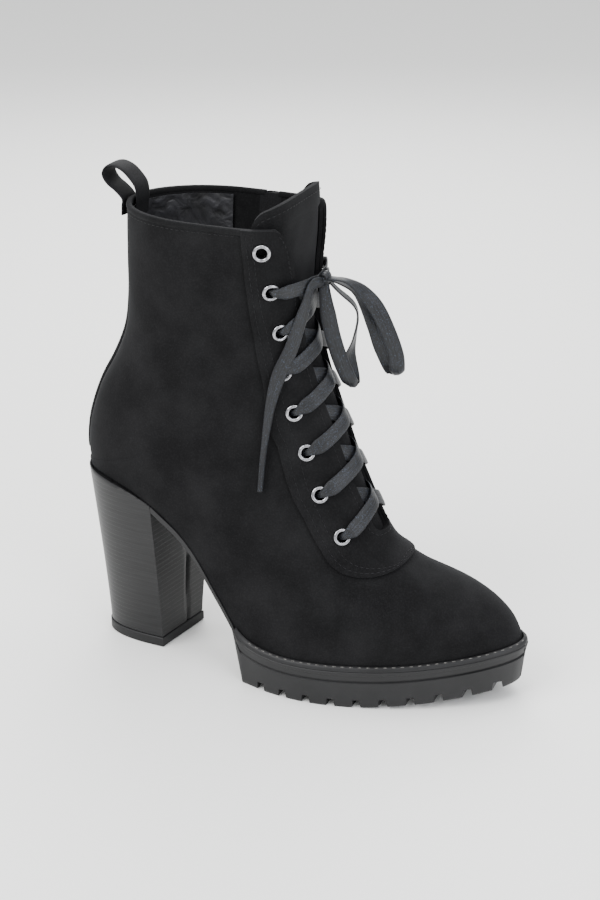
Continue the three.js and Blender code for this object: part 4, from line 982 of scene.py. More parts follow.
class BOOT_OT_bow(bpy.types.Operator):
    """The bow: a knot, two loops and two free ends of ribbon"""

    bl_idname = "boot.bow"
    bl_label = "Add bow"
    bl_options = {"REGISTER", "UNDO"}

    def execute(self, context):
        knot = tie_knot()
        finish_piece(knot, "lace", satin_ribbon, nodes=["bow_knot"], angle=50)
        full = mm("lace_width")
        share = np.linspace(0, 1, CORD_POINTS)
        for name, table, fold in (("bow_loop_a", BOW_LOOP_A, 0.54), ("bow_loop_b", BOW_LOOP_B, 0.49)):
            line = loop_line(table)
            # The ribbon creases sharply where it folds back
            cup = 0.35 + 2.6 * np.exp(-(((share - fold) / 0.04) ** 2))
            width = full * np.interp(share, [0, 0.06, 0.14, 0.9, 1], [0.6, 0.75, 1.0, 1.0, 0.6])
            width = width * (1 - 0.14 * np.exp(-(((share - fold) / 0.03) ** 2)))
            loop = band(f"{name}_ribbon", line[:, :3], line[:, 3:], width, mm("cord_thickness"), 22, cup)
            finish_piece(loop, "lace", satin_ribbon, nodes=[name], angle=50)
        # The free ends roll up towards their tips
        marks = [0, 0.08, 0.2, 0.48, 0.64, 0.8, 1]
        width = full * np.interp(share, marks, [0.6, 0.8, 1, 0.95, 0.62, 0.42, 0.34])
        thick = np.interp(share, [0, 0.48, 0.64, 0.82, 1], [1.0, 1.0, 1.5, 2.1, 2.1])
        for name, side, rows in (("lace_end_a", -1, 9), ("lace_end_b", 1, 8)):
            line = end_line(side, rows)
            end = band(f"{name}_ribbon", line[:, :3], line[:, 3:], width, thick, cup=0.3)
            finish_piece(end, "lace", satin_ribbon, nodes=[name], angle=50)
        return {"FINISHED"}


def upper_stations():
    """Stations of the upper's rows, closer at the facings' rounded corners and at the throat's end."""
    arc = station_at_level(np.linspace(ARC_LEVEL, THROAT_END, 12))
    corner = 0.6 * (1 - np.cos(np.linspace(0, math.pi / 2, 13)))
    return np.unique(np.round(np.concatenate([np.linspace(0, LAST_ROW, 118), arc, corner]), 6))


def eyelet_frames(grow):
    """Points, normals and directions down the last of all eyelets, lateral ones first."""
    level, around = np.array(EYELETS).T
    station = np.tile(station_at_level(level), 2)
    return surface_frames(station, np.concatenate([-around, around]), grow)


def eyelet_holes():
    """One cutter with a round bar through each eyelet."""
    points, normals, down = eyelet_frames(0.0)
    deselect()
    bpy.ops.mesh.primitive_cylinder_add(vertices=20, radius=EYELET_HOLE * MM, depth=9 * MM)
    return copies("holes", bpy.context.object, np.stack([down, np.cross(normals, down), normals], -1), points)


def zip_slot():
    """A block through the medial wall along the zip, from its foot to above the collar."""
    half = mm("zip_width") / 2 + GAP
    return prism_block("slot", *(
        corners(zip_x(z) - half, zip_x(z) + half, 2, 60, z) + CENTRE for z in (ZIP_FOOT - GAP, COLLAR + 20)))


class BOOT_OT_upper(bpy.types.Operator):
    """The upper: one sheet of lined suede over the last, open at the collar, the throat and the zip"""

    bl_idname = "boot.upper"
    bl_label = "Add upper"
    bl_options = {"REGISTER", "UNDO"}

    def execute(self, context):
        station = upper_stations()
        half = throat_half(station)[:, None]
        medial = half + (1 - half) * np.linspace(0, 1, 50)
        around = np.concatenate([-medial[:, ::-1], medial], 1)
        # The lateral front edge keeps its side where both edges meet on the centre line
        front = medial.shape[1] - 1
        around[:, front] = np.minimum(around[:, front], -1e-9)
        points = surface(station[:, None], around)
        points[-1] = points[-1].mean(0)
        drop = np.zeros((len(station) - 1, around.shape[1] - 1), bool)
        drop[half[:-1, 0] > 0, front] = True
        upper = wrap("upper_suede", points, drop=drop)
        thicken(upper, mm("wall"), inner=1)
        carve(upper, eyelet_holes())
        carve(upper, zip_slot())
        finish_piece(upper, "suede", microfibre_suede, pile_lining, nodes=["upper"])
        return {"FINISHED"}


def beside_seam(station, offset):
    """How far round the section a place lies that is some millimetres beside the back seam."""
    share = np.clip(np.abs(offset) / section_rows(station)[..., GIRTH_L], 0, 1)
    return np.where(offset < 0, -1, 1) * (0.5 + np.arccos(share) / math.pi)


class BOOT_OT_stays(bpy.types.Operator):
    """Eyestay and backstay: a U of suede round the throat, and a raised strip down the back seam"""

    bl_idname = "boot.stays"
    bl_label = "Add stays"
    bl_options = {"REGISTER", "UNDO"}

    def execute(self, context):
        overlay = mm("overlay") + GAP
        corner = 0.018 * (1 - np.cos(np.linspace(0, math.pi / 2, 13)))
        run = np.concatenate([corner, np.linspace(0.02, 0.98, 171), 1 - corner[::-1]])
        progress = 1 - np.abs(2 * run - 1)
        inner = np.stack(edge_place(progress, THROAT, THROAT_END))[..., None]
        outer = np.stack(edge_place(progress, OUTER, EYESTAY_END))[..., None]
        station, half = outer + (inner - outer) * np.linspace(0, 1, 16)
        around = np.where(run < 0.5, -1, 1)[:, None] * half
        stay = wrap("eyestay_suede", surface(station, around, overlay))
        thicken(stay, mm("overlay") + 0.2)
        carve(stay, eyelet_holes())
        round_edges(stay, 0.4, 2, 50)
        finish_piece(stay, "suede", microfibre_suede, nodes=["eyestay"])

        station = np.linspace(0, 8.72, 70)[:, None]
        offset = np.linspace(-4, 4, 15)
        lift = (overlay + 0.1) * (1 - (np.abs(offset) / 4.2) ** 4) * np.ones(station.shape)
        lift[0] = lift[-1] = 0.1
        # A fine ridge runs along each edge, where the strip is turned in and stitched
        ridge = 0.25 * np.exp(-((np.abs(offset) - 2.9) / 0.5) ** 2)
        strip = wrap("backstay_suede", surface(station, beside_seam(station, offset), lift + ridge))
        thicken(strip, 0.3)
        finish_piece(strip, "suede", microfibre_suede, nodes=["backstay"], angle=60)
        return {"FINISHED"}


class BOOT_OT_binding(bpy.types.Operator):
    """Folded binding along the collar and round the facings' corners, in two runs that stop at the zip"""

    bl_idname = "boot.binding"
    bl_label = "Add binding"
    bl_options = {"REGISTER", "UNDO"}

    def execute(self, context):
        zip_half = mm("zip_width") / 2 + 0.6
        _, zip_edges = zip_place(COLLAR - 0.4, np.array([-zip_half, zip_half]))
        inset, height, row_drop = 1.35, 2.9, 12.1
        turn = np.linspace(0, math.pi / 2, 14)[:-1]
        reach = CORNER_ROUND - inset
        corner_drop = np.concatenate([CORNER_ROUND + np.array([5, 2.5]), inset + reach * (1 - np.sin(turn))])
        throat = edge_half(2, THROAT)
        corner_round = throat + (inset + reach * (1 - np.cos(turn))) / ROUND_LENGTH
        corner_round = np.concatenate([corner_round[0] - np.array([0.018, 0.009]), corner_round])
        start = throat + CORNER_ROUND / ROUND_LENGTH
        over_back = np.concatenate([np.linspace(-start, -1, 90), np.linspace(1, zip_edges.max(), 46)[1:]])
        runs = []
        for side, top in ((-1, over_back), (1, np.linspace(start, zip_edges.min(), 40))):
            drop = np.concatenate([corner_drop, np.full(len(top), inset)])
            around = np.concatenate([side * corner_round, top])
            # The fold is thicker where the eyestay lies under it
            outer = mm("overlay") / (1 + np.exp((np.abs(around) - 0.41) * 220)) + 0.5
            inner = -mm("wall") - 0.35
            centres, normals, _ = surface_frames(drop / row_drop, around, (outer + inner) / 2)
            on_top = np.abs(around) > start - 0.02
            centres[on_top, 2] = COLLAR - drop[on_top]
            along = unit(np.gradient(centres, axis=0))
            width = (outer - inner) * np.clip(np.linspace(0.4, 14, len(drop)), 0, 1)
            runs.append(band("run", centres, np.cross(along, np.cross(normals, along)), width, height, 20))
        binding = merge(runs, "collar_binding")
        finish_piece(binding, "suede", microfibre_suede, angle=60)
        return {"FINISHED"}


def tongue_top(around):
    """Stations of the tongue's top edge, arched and rounded at its corners."""
    rise = TONGUE_RISE * (1 - TONGUE_SHOULDER * (around / TONGUE_EDGE) ** 2)
    near_edge = np.clip(1 - (TONGUE_EDGE - np.abs(around)) * ROUND_LENGTH / TONGUE_CORNER, 0, 1)
    return station_at_level(2 + (rise - TONGUE_CORNER * (1 - np.sqrt(1 - near_edge**2))) / SHAFT)


class BOOT_OT_tongue(bpy.types.Operator):
    """The tongue: lined suede under the throat, arched above the collar"""

    bl_idname = "boot.tongue"
    bl_label = "Add tongue"
    bl_options = {"REGISTER", "UNDO"}

    def execute(self, context):
        around = TONGUE_EDGE * np.sin(np.linspace(-math.pi / 2, math.pi / 2, 49))
        top = tongue_top(around)
        station = top + (station_at_level(TONGUE_FOOT) - top) * np.linspace(0, 1, 90)[:, None]
        # The free top stands slightly proud
        puff = 0.8 * np.exp(-((station + 0.2) / 0.5) ** 2) * np.cos(around / TONGUE_EDGE * math.pi / 2)
        grow = np.where(station < 0, puff, 0) - mm("wall") - GAP
        tongue = wrap("tongue_suede", surface(station, around, grow))
        thicken(tongue, mm("tongue"), inner=1)
        round_edges(tongue, 0.9, 3, 60)
        finish_piece(tongue, "suede", microfibre_suede, pile_lining, nodes=["tongue"])
        return {"FINISHED"}


def sole_stations(first, count):
    """Stations from the heel side to the toe, closer together at the toe."""
    share = np.linspace(0, 1, count)
    return first + (LAST_ROW - first) * (1 - (1 - share) ** 1.35)


class BOOT_OT_insole(bpy.types.Operator):
    """The insole, covered in the lining's cloth and turned up at its edges"""

    bl_idname = "boot.insole"
    bl_label = "Add insole"
    bl_options = {"REGISTER", "UNDO"}

    def execute(self, context):
        station = sole_stations(SEAT_ROW + 0.35, 90)
        inset = -(mm("wall") + 2 * GAP + 0.4)
        left, right = (sole_place(station, side, inset, bed_height(station) + INSOLE) for side in (-1, 1))
        share = np.linspace(0, 1, 15)[:, None]
        points = left[:, None] + (right - left)[:, None] * share
        points[..., 2] += 1.2 * (2 * share[:, 0] - 1) ** 4
        insole = wrap("insole_cloth", points)
        if insole.data.polygons[len(insole.data.polygons) // 2].normal.z < 0:
            insole.data.flip_normals()
        thicken(insole, 2.2)
        finish_piece(insole, "lining", pile_lining, nodes=["insole"])
        return {"FINISHED"}


class BOOT_OT_heel_grip(bpy.types.Operator):
    """The coated lining inside the back of the shaft: a rippled patch with one upright seam"""

    bl_idname = "boot.heel_grip"
    bl_label = "Add heel grip"
    bl_options = {"REGISTER", "UNDO"}

    def execute(self, context):
        station = np.linspace(0.3, 4.6, 46)[:, None]
        around = np.concatenate([np.linspace(-0.8, -1, 20), np.linspace(1, GRIP_INNER_EDGE, 60)[1:]])
        share = np.abs(around)
        ripple = 0.3 * np.abs(np.sin(station * 6 + share * 34 + 2 * np.sin(station * 2.3 + share * 9)))
        seam = 0.5 * np.exp(-(((around - GRIP_SEAM) / 0.012) ** 2))
        patch = wrap("heel_grip_patch", surface(station, around, seam - ripple - mm("wall") - 0.85))
        patch.data.flip_normals()
        thicken(patch, 0.3)
        finish_piece(patch, "lining", coated_lining, angle=60)
        return {"FINISHED"}


def tread_height(x, bed):
    """Height of the sole's underside: a sheet at the waist, then the tread with its toe spring."""
    sheet = bed - GAP - WAIST_SHEET
    fall = np.clip((x - PLATFORM_BACK) / (PLATFORM_FOOT - PLATFORM_BACK), 0, 1)
    spring = np.clip((x / LENGTH - SPRING_START) / (1 - SPRING_START), 0, 1.1)
    return np.where(x < PLATFORM_BACK, sheet, sheet * (1 - fall**1.3) + TOE_SPRING * spring**1.6)


def sole_wall(station, side):
    """Rows down one side of the sole."""
    bed = bed_height(station)
    top = bed - GAP
    foot = tread_height(section_rows(station)[:, BACK_X], bed)
    full = np.clip((top - foot - WAIST_SHEET) / (PLATFORM - 2 * WAIST_SHEET), 0, 1)[:, None]
    step, share = SIDE_STEPS.T
    outset = WAIST_EDGE + (SOLE_EDGE - SOLE_TAPER * share - WAIST_EDGE) * full + step * SIDE_GROOVE * full
    return sole_place(station[:, None], side, outset, top[:, None] + (foot - top)[:, None] * share)


class BOOT_OT_outsole(bpy.types.Operator):
    """Platform and waist of one moulded sole, with notches between its lugs"""

    bl_idname = "boot.outsole"
    bl_label = "Add outsole"
    bl_options = {"REGISTER", "UNDO"}

    def execute(self, context):
        slant = HEEL_SLANT * HEEL_HALF_TOP
        breast = station_at_sole(HEEL_BREAST_TOP + np.array([-slant, slant]) + 2 * GAP)
        step_down = station_at_sole(np.linspace(PLATFORM_BACK, PLATFORM_FOOT, 7))
        station = np.unique(np.round(np.concatenate([sole_stations(breast[1] + 0.2, 130), step_down]), 5))
        left = sole_wall(np.concatenate([breast[:1], station]), -1)
        right = sole_wall(np.concatenate([breast[1:], station]), 1)[:, ::-1]
        across = np.linspace(0, 1, 7)[1:-1, None]
        under = left[:, -1:] + (right[:, :1] - left[:, -1:]) * across
        over = right[:, -1:] + (left[:, :1] - right[:, -1:]) * across
        sole = ring_solid("outsole_rubber", np.concatenate([left, under, right, over], 1))
        blocks = []
        for x in LUG_FIRST + LUG_PITCH * np.arange(LUG_COUNT):
            base = float(tread_height(x, PLATFORM))
            # A notch narrows upwards
            wide, narrow = 0.62 * LUG_NOTCH, 0.4 * LUG_NOTCH
            blocks.append(prism_block("notch", corners(x - wide, x + wide, -60, 60, base - 4) + CENTRE,
                                      corners(x - narrow, x + narrow, -60, 60, base + LUG_DEPTH) + CENTRE))
        carve(sole, merge(blocks, "notches"))
        finish_piece(sole, "sole", sole_rubber, nodes=["outsole"], angle=30)
        return {"FINISHED"}


class BOOT_OT_welt(bpy.types.Operator):
    """The welt strip in the crease over the platform, with its dashes of thread"""

    bl_idname = "boot.welt"
    bl_label = "Add welt"
    bl_options = {"REGISTER", "UNDO"}

    def execute(self, context):
        one_side = sole_stations(station_at_sole((PLATFORM_BACK + PLATFORM_FOOT) / 2), 110)
        station = np.concatenate([one_side, one_side[::-1]])
        side = np.repeat([-1, 1], len(one_side))
        bed = bed_height(station)
        places = (0.2, 0.3), (SOLE_EDGE + 0.3, 0), (SOLE_EDGE + 0.1, 1.3), (0.9, 2.3), (1.9, 2.05)
        inner, outer, outer_top, inner_top, line = (
            sole_place(station, side, outset, bed + rise) for outset, rise in places)
        crown = (outer_top + inner_top) / 2 + (0, 0, 0.35)
        strip = ring_solid("welt_strip", np.stack([inner, outer, outer_top, crown, inner_top], 1))
        finish_piece(strip, "sole", sole_rubber, nodes=["welt"], angle=50)

        normals = unit(np.stack([np.zeros(len(side)), side * 0.75, np.full(len(side), 0.65)], -1))
        stitches = stitch_rows("welt_stitches", [(line[4:-4], normals[4:-4])], 2.0, 0.6, 4.2, 0.5)
        finish_piece(stitches, "sole", welt_thread)
        return {"FINISHED"}


def heel_outline(share, outset, count):
    """The heel's outline at a share of its height: half a superellipse behind the flat, slanted breast."""
    flare = share**HEEL_FLARE
    breast = HEEL_BREAST_FOOT + (HEEL_BREAST_TOP - HEEL_BREAST_FOOT) * share + outset
    back = HEEL_BACK_FOOT + (HEEL_BACK_TOP - HEEL_BACK_FOOT) * flare - outset
    half = HEEL_HALF_FOOT + (HEEL_HALF_TOP - HEEL_HALF_FOOT) * flare + outset
    angle = np.linspace(0, math.pi / 2, count)
    side = np.concatenate([np.full(count, -1), np.full(count - 1, 1)])
    angle = np.concatenate([angle, angle[-2::-1]])
    depth = np.sin(angle) ** (2 / HEEL_ROUND)
    y = HEEL_SWING_FOOT * (1 - flare) + side * half * np.maximum(np.cos(angle), 0) ** (2 / HEEL_ROUND)
    x = breast + (back - breast) * depth + HEEL_SLANT * y * (1 - depth)
    return np.stack([x, y], -1), flare


def heel_ring(share, outset, groove):
    """The whole outline, with a shallow upright groove in the breast."""
    curve, flare = heel_outline(share, outset, 34)
    front = curve[-1] + (curve[0] - curve[-1]) * np.linspace(0, 1, 26)[1:-1, None]
    place = front[:, 1] - (2.5 + (HEEL_SWING_FOOT + 2) * (1 - flare))
    front[:, 0] -= groove * np.exp(-((place / 0.9) ** 4))
    return np.concatenate([curve, front])


class BOOT_OT_heel(bpy.types.Operator):
    """The stacked block heel and its top lift"""

    bl_idname = "boot.heel"
    bl_label = "Add heel"
    bl_options = {"REGISTER", "UNDO"}

    def execute(self, context):
        foot = TOP_LIFT + 0.15
        rings = []
        for share in np.concatenate([[0.0, 0.004], np.linspace(0.03, 0.97, 26), [0.994, 1.0]]):
            # The first and last rings are drawn in, which breaks the heel's sharp edges
            outline = heel_ring(share, -0.35 if share in (0.0, 1.0) else 0.0, 0.8)
            seat = bed_height(station_at_sole(np.clip(outline[:, 0], 0.3, LENGTH))) - 2 * GAP
            rings.append(np.concatenate([outline, (foot + (seat - foot) * share)[:, None]], 1) + CENTRE)
        heel = ring_solid("heel_stack", np.array(rings))
        finish_piece(heel, "heel", stacked_board, nodes=["heel"], angle=35)

        layers = (0, 0.5), (0.5, 0), (TOP_LIFT - 0.4, 0), (TOP_LIFT, 0.35)
        lift = ring_solid("top_lift_rubber", np.array([
            np.insert(heel_ring(0.0, TOP_LIFT_EDGE - inset, 0.0), 2, z, axis=1) + CENTRE
            for z, inset in layers
        ]))
        finish_piece(lift, "sole", lift_rubber, nodes=["top_lift"], angle=30)
        return {"FINISHED"}


class BOOT_OT_pull_loop(bpy.types.Operator):
    """The pull loop: a tape folded over the collar at the back seam"""

    bl_idname = "boot.pull_loop"
    bl_label = "Add pull loop"
    bl_options = {"REGISTER", "UNDO"}

    def execute(self, context):
        thick = 2.0
        outer = -(GAP + mm("overlay") + GAP + thick / 2)
        inner = mm("wall") + 3 * GAP + thick
        # Places forward of the back seam and up from the collar
        line = np.array([
            (outer, -9), (outer, -4.5), (outer, -1), (-6.5, 2.7), (-11, 6), (-13.2, 10), (-11.5, 13.4),
            (-7.5, 14.6), (-2.5, 13), (1.5, 9.5), (4.4, 5.5), (inner + 0.4, 0), (inner, -4.5), (inner, -9),
        ])
        height = COLLAR + np.minimum(line[:, 1], 0)
        seam = section_rows(solve(lambda t: section_rows(t)[..., BACK_Z], height, 0, SEAT_ROW))[:, BACK_X]
        points = np.stack([seam + line[:, 0], np.zeros(len(line)), COLLAR + line[:, 1]], -1) + CENTRE
        centres = smooth_line(points, 70)
        across = np.tile((0.0, 1.0, 0.0), (len(centres), 1))
        loop = band("pull_loop_tape", centres, across, 13.0, 1.7, 20)
        finish_piece(loop, "suede", grosgrain, nodes=["pull_loop"], angle=50)
        return {"FINISHED"}


class BOOT_OT_eyelets(bpy.types.Operator):
    """Sixteen turned eyelets with rolled flanges"""

    bl_idname = "boot.eyelets"
    bl_label = "Add eyelets"
    bl_options = {"REGISTER", "UNDO"}

    def execute(self, context):
        foot = GAP - (mm("overlay") + mm("wall"))
        bore, shank, seat, roll, middle = 2.3, 2.75, 0.35, 0.9, 3.4
        angle = np.linspace(-0.35 * math.pi, math.pi, 12)
        rolled = np.stack([middle + roll * np.cos(angle), seat + roll * np.maximum(np.sin(angle), -0.25)], -1)
        barrel = [(bore, foot), (shank, foot), (shank, seat - 0.25), (3.5, seat - 0.25)]
        profile = np.concatenate([barrel, rolled, [(bore, foot + 0.6)]])
        turn = np.linspace(0, 2 * math.pi, 29)
        radius, height = profile[:, :1], np.repeat(profile[:, 1:], len(turn), 1)
        rings = np.stack([radius * np.cos(turn), radius * np.sin(turn), height], -1)
        rings = np.concatenate([rings, rings[:1]])
        frames = eyelet_frames(GAP + mm("overlay"))
        for k, (point, normal, down) in enumerate(zip(*frames)):
            side, number = ("lateral", "medial")[k // len(EYELETS)], k % len(EYELETS) + 1
            eyelet = wrap(f"eyelet_{side}_ring_{number}", rings, closed=True)
            put_in_frame(eyelet, np.stack([down, np.cross(normal, down), normal], -1), point)
            finish_piece(eyelet, "nickel", nickel_plate, nodes=[f"eyelet_{side}_{number}"], angle=50)
        return {"FINISHED"}


def laid_ribbon(station, around, grow, count):
    """The middle line of a ribbon laid over the last and its width direction."""
    points, normals, _ = surface_frames(station, around, grow)
    line = smooth_line(np.concatenate([points, normals], 1), count)
    along = unit(np.gradient(line[:, :3], axis=0))
    return line[:, :3], unit(np.cross(line[:, 3:], along))


def lace_bar(side, number):
    """One ribbon out of an eyelet, over the throat and under the far edge."""
    level, around = EYELETS[number]
    next_level, next_around = EYELETS[number - 1]
    throat = float(edge_half(level, THROAT))
    # Places round the section from the eyelet's own side, and heights. One of a pair crosses over the other.
    crossing = 0.75 if side < 0 else -0.55
    rounds, grows = np.array([
        (around, -1.6), (around - 0.004, 1.6), (around - 0.02, 3.6), (around - 0.05, 3.75),
        (around - 0.085, 3.1), (throat + 0.005, 2.6), (throat * 0.5, 1.7 + crossing), (0.0, 0.5 + crossing),
        (-throat * 0.55, -0.9 + crossing), (-throat, -2.1), (-throat - 0.03, -2.45),
    ]).T
    levels = level + (next_level - level) * (around - rounds) / (around + next_around)
    levels[:2] = level
    centres, across = laid_ribbon(station_at_level(levels), side * rounds, grows, 44)
    # The ribbon is gathered in the eyelet and opens to its full width
    travelled = np.linspace(0, line_length(centres), len(centres))
    share = np.clip((travelled - 3.2) / 7.5, 0, 1)
    share = share * share * (3 - 2 * share)
    width = GATHERED[0] + (mm("lace_width") - GATHERED[0]) * share
    thick = GATHERED[1] + (mm("lace_thickness") - GATHERED[1]) * share
    return band("bar", centres, across, width, thick)


class BOOT_OT_laces(bpy.types.Operator):
    """The crossing ribbons and the straps that run up to the knot"""

    bl_idname = "boot.laces"
    bl_label = "Add laces"
    bl_options = {"REGISTER", "UNDO"}

    def execute(self, context):
        for number in range(len(EYELETS) - 1, FIRST_LACED, -1):
            pair = merge([lace_bar(side, number) for side in (-1, 1)], f"lace_ribbon_{number}")
            finish_piece(pair, "lace", satin_ribbon, nodes=[f"lace_cross_{number}"], angle=50)
        level, around = EYELETS[FIRST_LACED]
        rounds = np.append(around - np.array([0, 0.004, 0.022, 0.05, 0.09]), [0.1, 0.05, 0.0])
        grows = np.array([-1.6, 1.6, 3.6, 3.8, 3.5, 3.4, 3.9, 4.2])
        station = station_at_level(level) + np.linspace(0, 0.08, len(rounds))
        share = np.linspace(0, 1, 40)
        marks = [0, 0.12, 0.32, 0.8, 1]
        width = np.interp(share, marks, [GATHERED[0], GATHERED[0], 7.4, 6.8, 4.6])
        thick = np.interp(share, marks, [GATHERED[1], GATHERED[1], 0.9, 1.0, 1.6])
        straps = merge([
            band("strap", *laid_ribbon(station, side * rounds, grows, len(share)), width, thick)
            for side in (-1, 1)
        ], "lace_strap_ribbon")
        finish_piece(straps, "lace", satin_ribbon, nodes=["lace_straps"], angle=50)
        return {"FINISHED"}


def zip_grid(top, foot, half, rows, columns, solved_rows, solved_columns):
    """Stations and places round the section along the zip, solved at a few points and spread over a grid."""
    across = np.linspace(-half, half, solved_columns)
    grids = []
    for values in zip_place(np.linspace(top, foot, solved_rows)[:, None], across):
        for count in (columns, rows):
            known, wanted = np.linspace(0, 1, values.shape[1]), np.linspace(0, 1, count)
            values = np.array([np.interp(wanted, known, row) for row in values]).T
        grids.append(values)
    return grids


class BOOT_OT_zip_chain(bpy.types.Operator):
    """The closed coil chain in its slot, on a strip of woven tape"""

    bl_idname = "boot.zip_chain"
    bl_label = "Add zip"
    bl_options = {"REGISTER", "UNDO"}

    def execute(self, context):
        top, foot = COLLAR - GAP, ZIP_FOOT + 0.4
        half = mm("zip_width") / 2
        station, around = zip_grid(top, foot, half, 760, 19, 40, 5)
        height = np.linspace(top, foot, len(station))[:, None]
        beside = np.linspace(-half, half, station.shape[1])
        # The two sides' turns lie half a pitch apart
        phase = height / mm("coil_pitch") * 2 * math.pi + np.where(beside < 0, 0, math.pi)
        share = np.abs(beside) / half
        fade = np.clip((0.86 - share) * 9, 0, 1) * np.clip(share * 7 + 0.35, 0, 1)
        turns = (0.35 + 0.35 * np.cos(phase)) * fade
        crown = 0.55 * np.sqrt(np.clip(1 - (share / 0.9) ** 2, 0, 1)) - 1
        chain = wrap("zip_coil", surface(station, around, crown + turns))
        thicken(chain, 0.5)
        finish_piece(chain, "zip", nylon_coil, nodes=["zip_chain"], angle=70)

        tape_half = half + 2.6
        heights = np.linspace(COLLAR - 2 * GAP, foot - 3, 60)[:, None]
        station, around = zip_place(heights, np.linspace(-tape_half, tape_half, 7))
        tape = wrap("zip_tape", surface(station, around, -(mm("wall") + 0.1)))
        thicken(tape, 0.4)
        finish_piece(tape, "zip", grosgrain, angle=60)
        return {"FINISHED"}


def slider_frame():
    """The slider's place: X across the zip, Y out of the wall and Z up the zip."""
    station, around = zip_place(COLLAR - SLIDER_DROP)
    point = last_point(station, around) + CENTRE
    down = unit(last_point(station + STEP, around) + CENTRE - point)
    across = unit(last_point(station, around + STEP) + CENTRE - point)
    normal = unit(np.cross(down, across))
    rise = np.array([zip_x(1.0) - zip_x(0.0), 0.0, 1.0])
    rise = unit(rise - normal * (rise @ normal))
    return np.stack([np.cross(normal, rise), normal, rise], -1), point


class BOOT_OT_zip_slider(bpy.types.Operator):
    """The zip's slider, and the pull that swings on its bridge"""

    bl_idname = "boot.zip_slider"
    bl_label = "Add slider"
    bl_options = {"REGISTER", "UNDO"}

    def execute(self, context):
        axes, origin = slider_frame()
        deck, ceiling, half, wide = 2.9, 4.9, 5.0, 4.0
        # A rounded crown over a narrower foot, as a few outlines one above the other
        arc, foot = np.linspace(0, math.pi, 25), 0.8 * wide
        crown = np.stack([wide * np.cos(arc), 1 + (half - 1) * np.sin(arc)], -1)
        tail = [(-foot, 0.5 - half), (0.5 - foot, -half), (foot - 0.5, -half), (foot, 0.5 - half)]
        outline = np.concatenate([crown, tail])
        layers = (GAP, 0.9), (GAP + 0.4, 1), (deck - 0.7, 1), (deck - 0.2, 0.94), (deck, 0.84)
        rings = np.array([np.insert(outline * share, 1, y, axis=1) for y, share in layers])
        slider = merge([
            ring_solid("slider_body", rings),
            block("post_low", (-1, deck - 0.4, -3), (1, ceiling + 1, -2), 0.25),
            block("post_high", (-1, deck - 0.4, 3), (1, ceiling + 1, 4), 0.25),
            block("bridge", (-1, ceiling, -3), (1, ceiling + 1, 4), 0.3),
        ], "zip_slider_metal")
        put_in_frame(slider, axes, origin)
        finish_piece(slider, "nickel", nickel_plate, nodes=["zip_slider"], angle=35)

        inside, outside, neck, broad, thick = 1.45, 2.35, 6.5, 3.8, 0.7
        plate = block("plate", (-broad, -thick, -26.5), (broad, thick, -neck), 0.62)
        # A narrow slot near the neck, a line across the face and a wider slot near the foot
        deep = thick + 1
        carve(plate, merge([
            block("slot_neck", (-2.7, -deep, -neck - 2.3), (2.7, deep, -neck - 1.5), 0.1, 1),
            block("line", (-broad - 1, thick - 0.25, -neck - 8.4), (broad + 1, deep, -neck - 7.9), 0.05, 1),
            block("slot_foot", (-3.1, -deep, -neck - 16.6), (3.1, deep, -neck - 14.7), 0.1, 1),
        ], "slots"))
        arms = [block("arm", (low, -thick, -neck - 1), (high, thick, 0.6), 0.25)
                for low, high in ((-outside, -inside), (inside, outside))]
        deselect()
        bpy.ops.mesh.primitive_cylinder_add(
            vertices=20, radius=0.6 * MM, depth=3.9 * MM, rotation=(0, math.pi / 2, 0))
        pin = bpy.context.object
        bpy.ops.object.transform_apply(location=True, rotation=True, scale=True)
        pull = merge([plate, *arms, pin], "zip_pull_metal")
        put_in_frame(pull, axes, origin + axes @ (0, 3.9, -1.1))
        finish_piece(pull, "nickel", nickel_plate, nodes=["zip_pull"], body="zip_pull", angle=35)
        return {"FINISHED"}


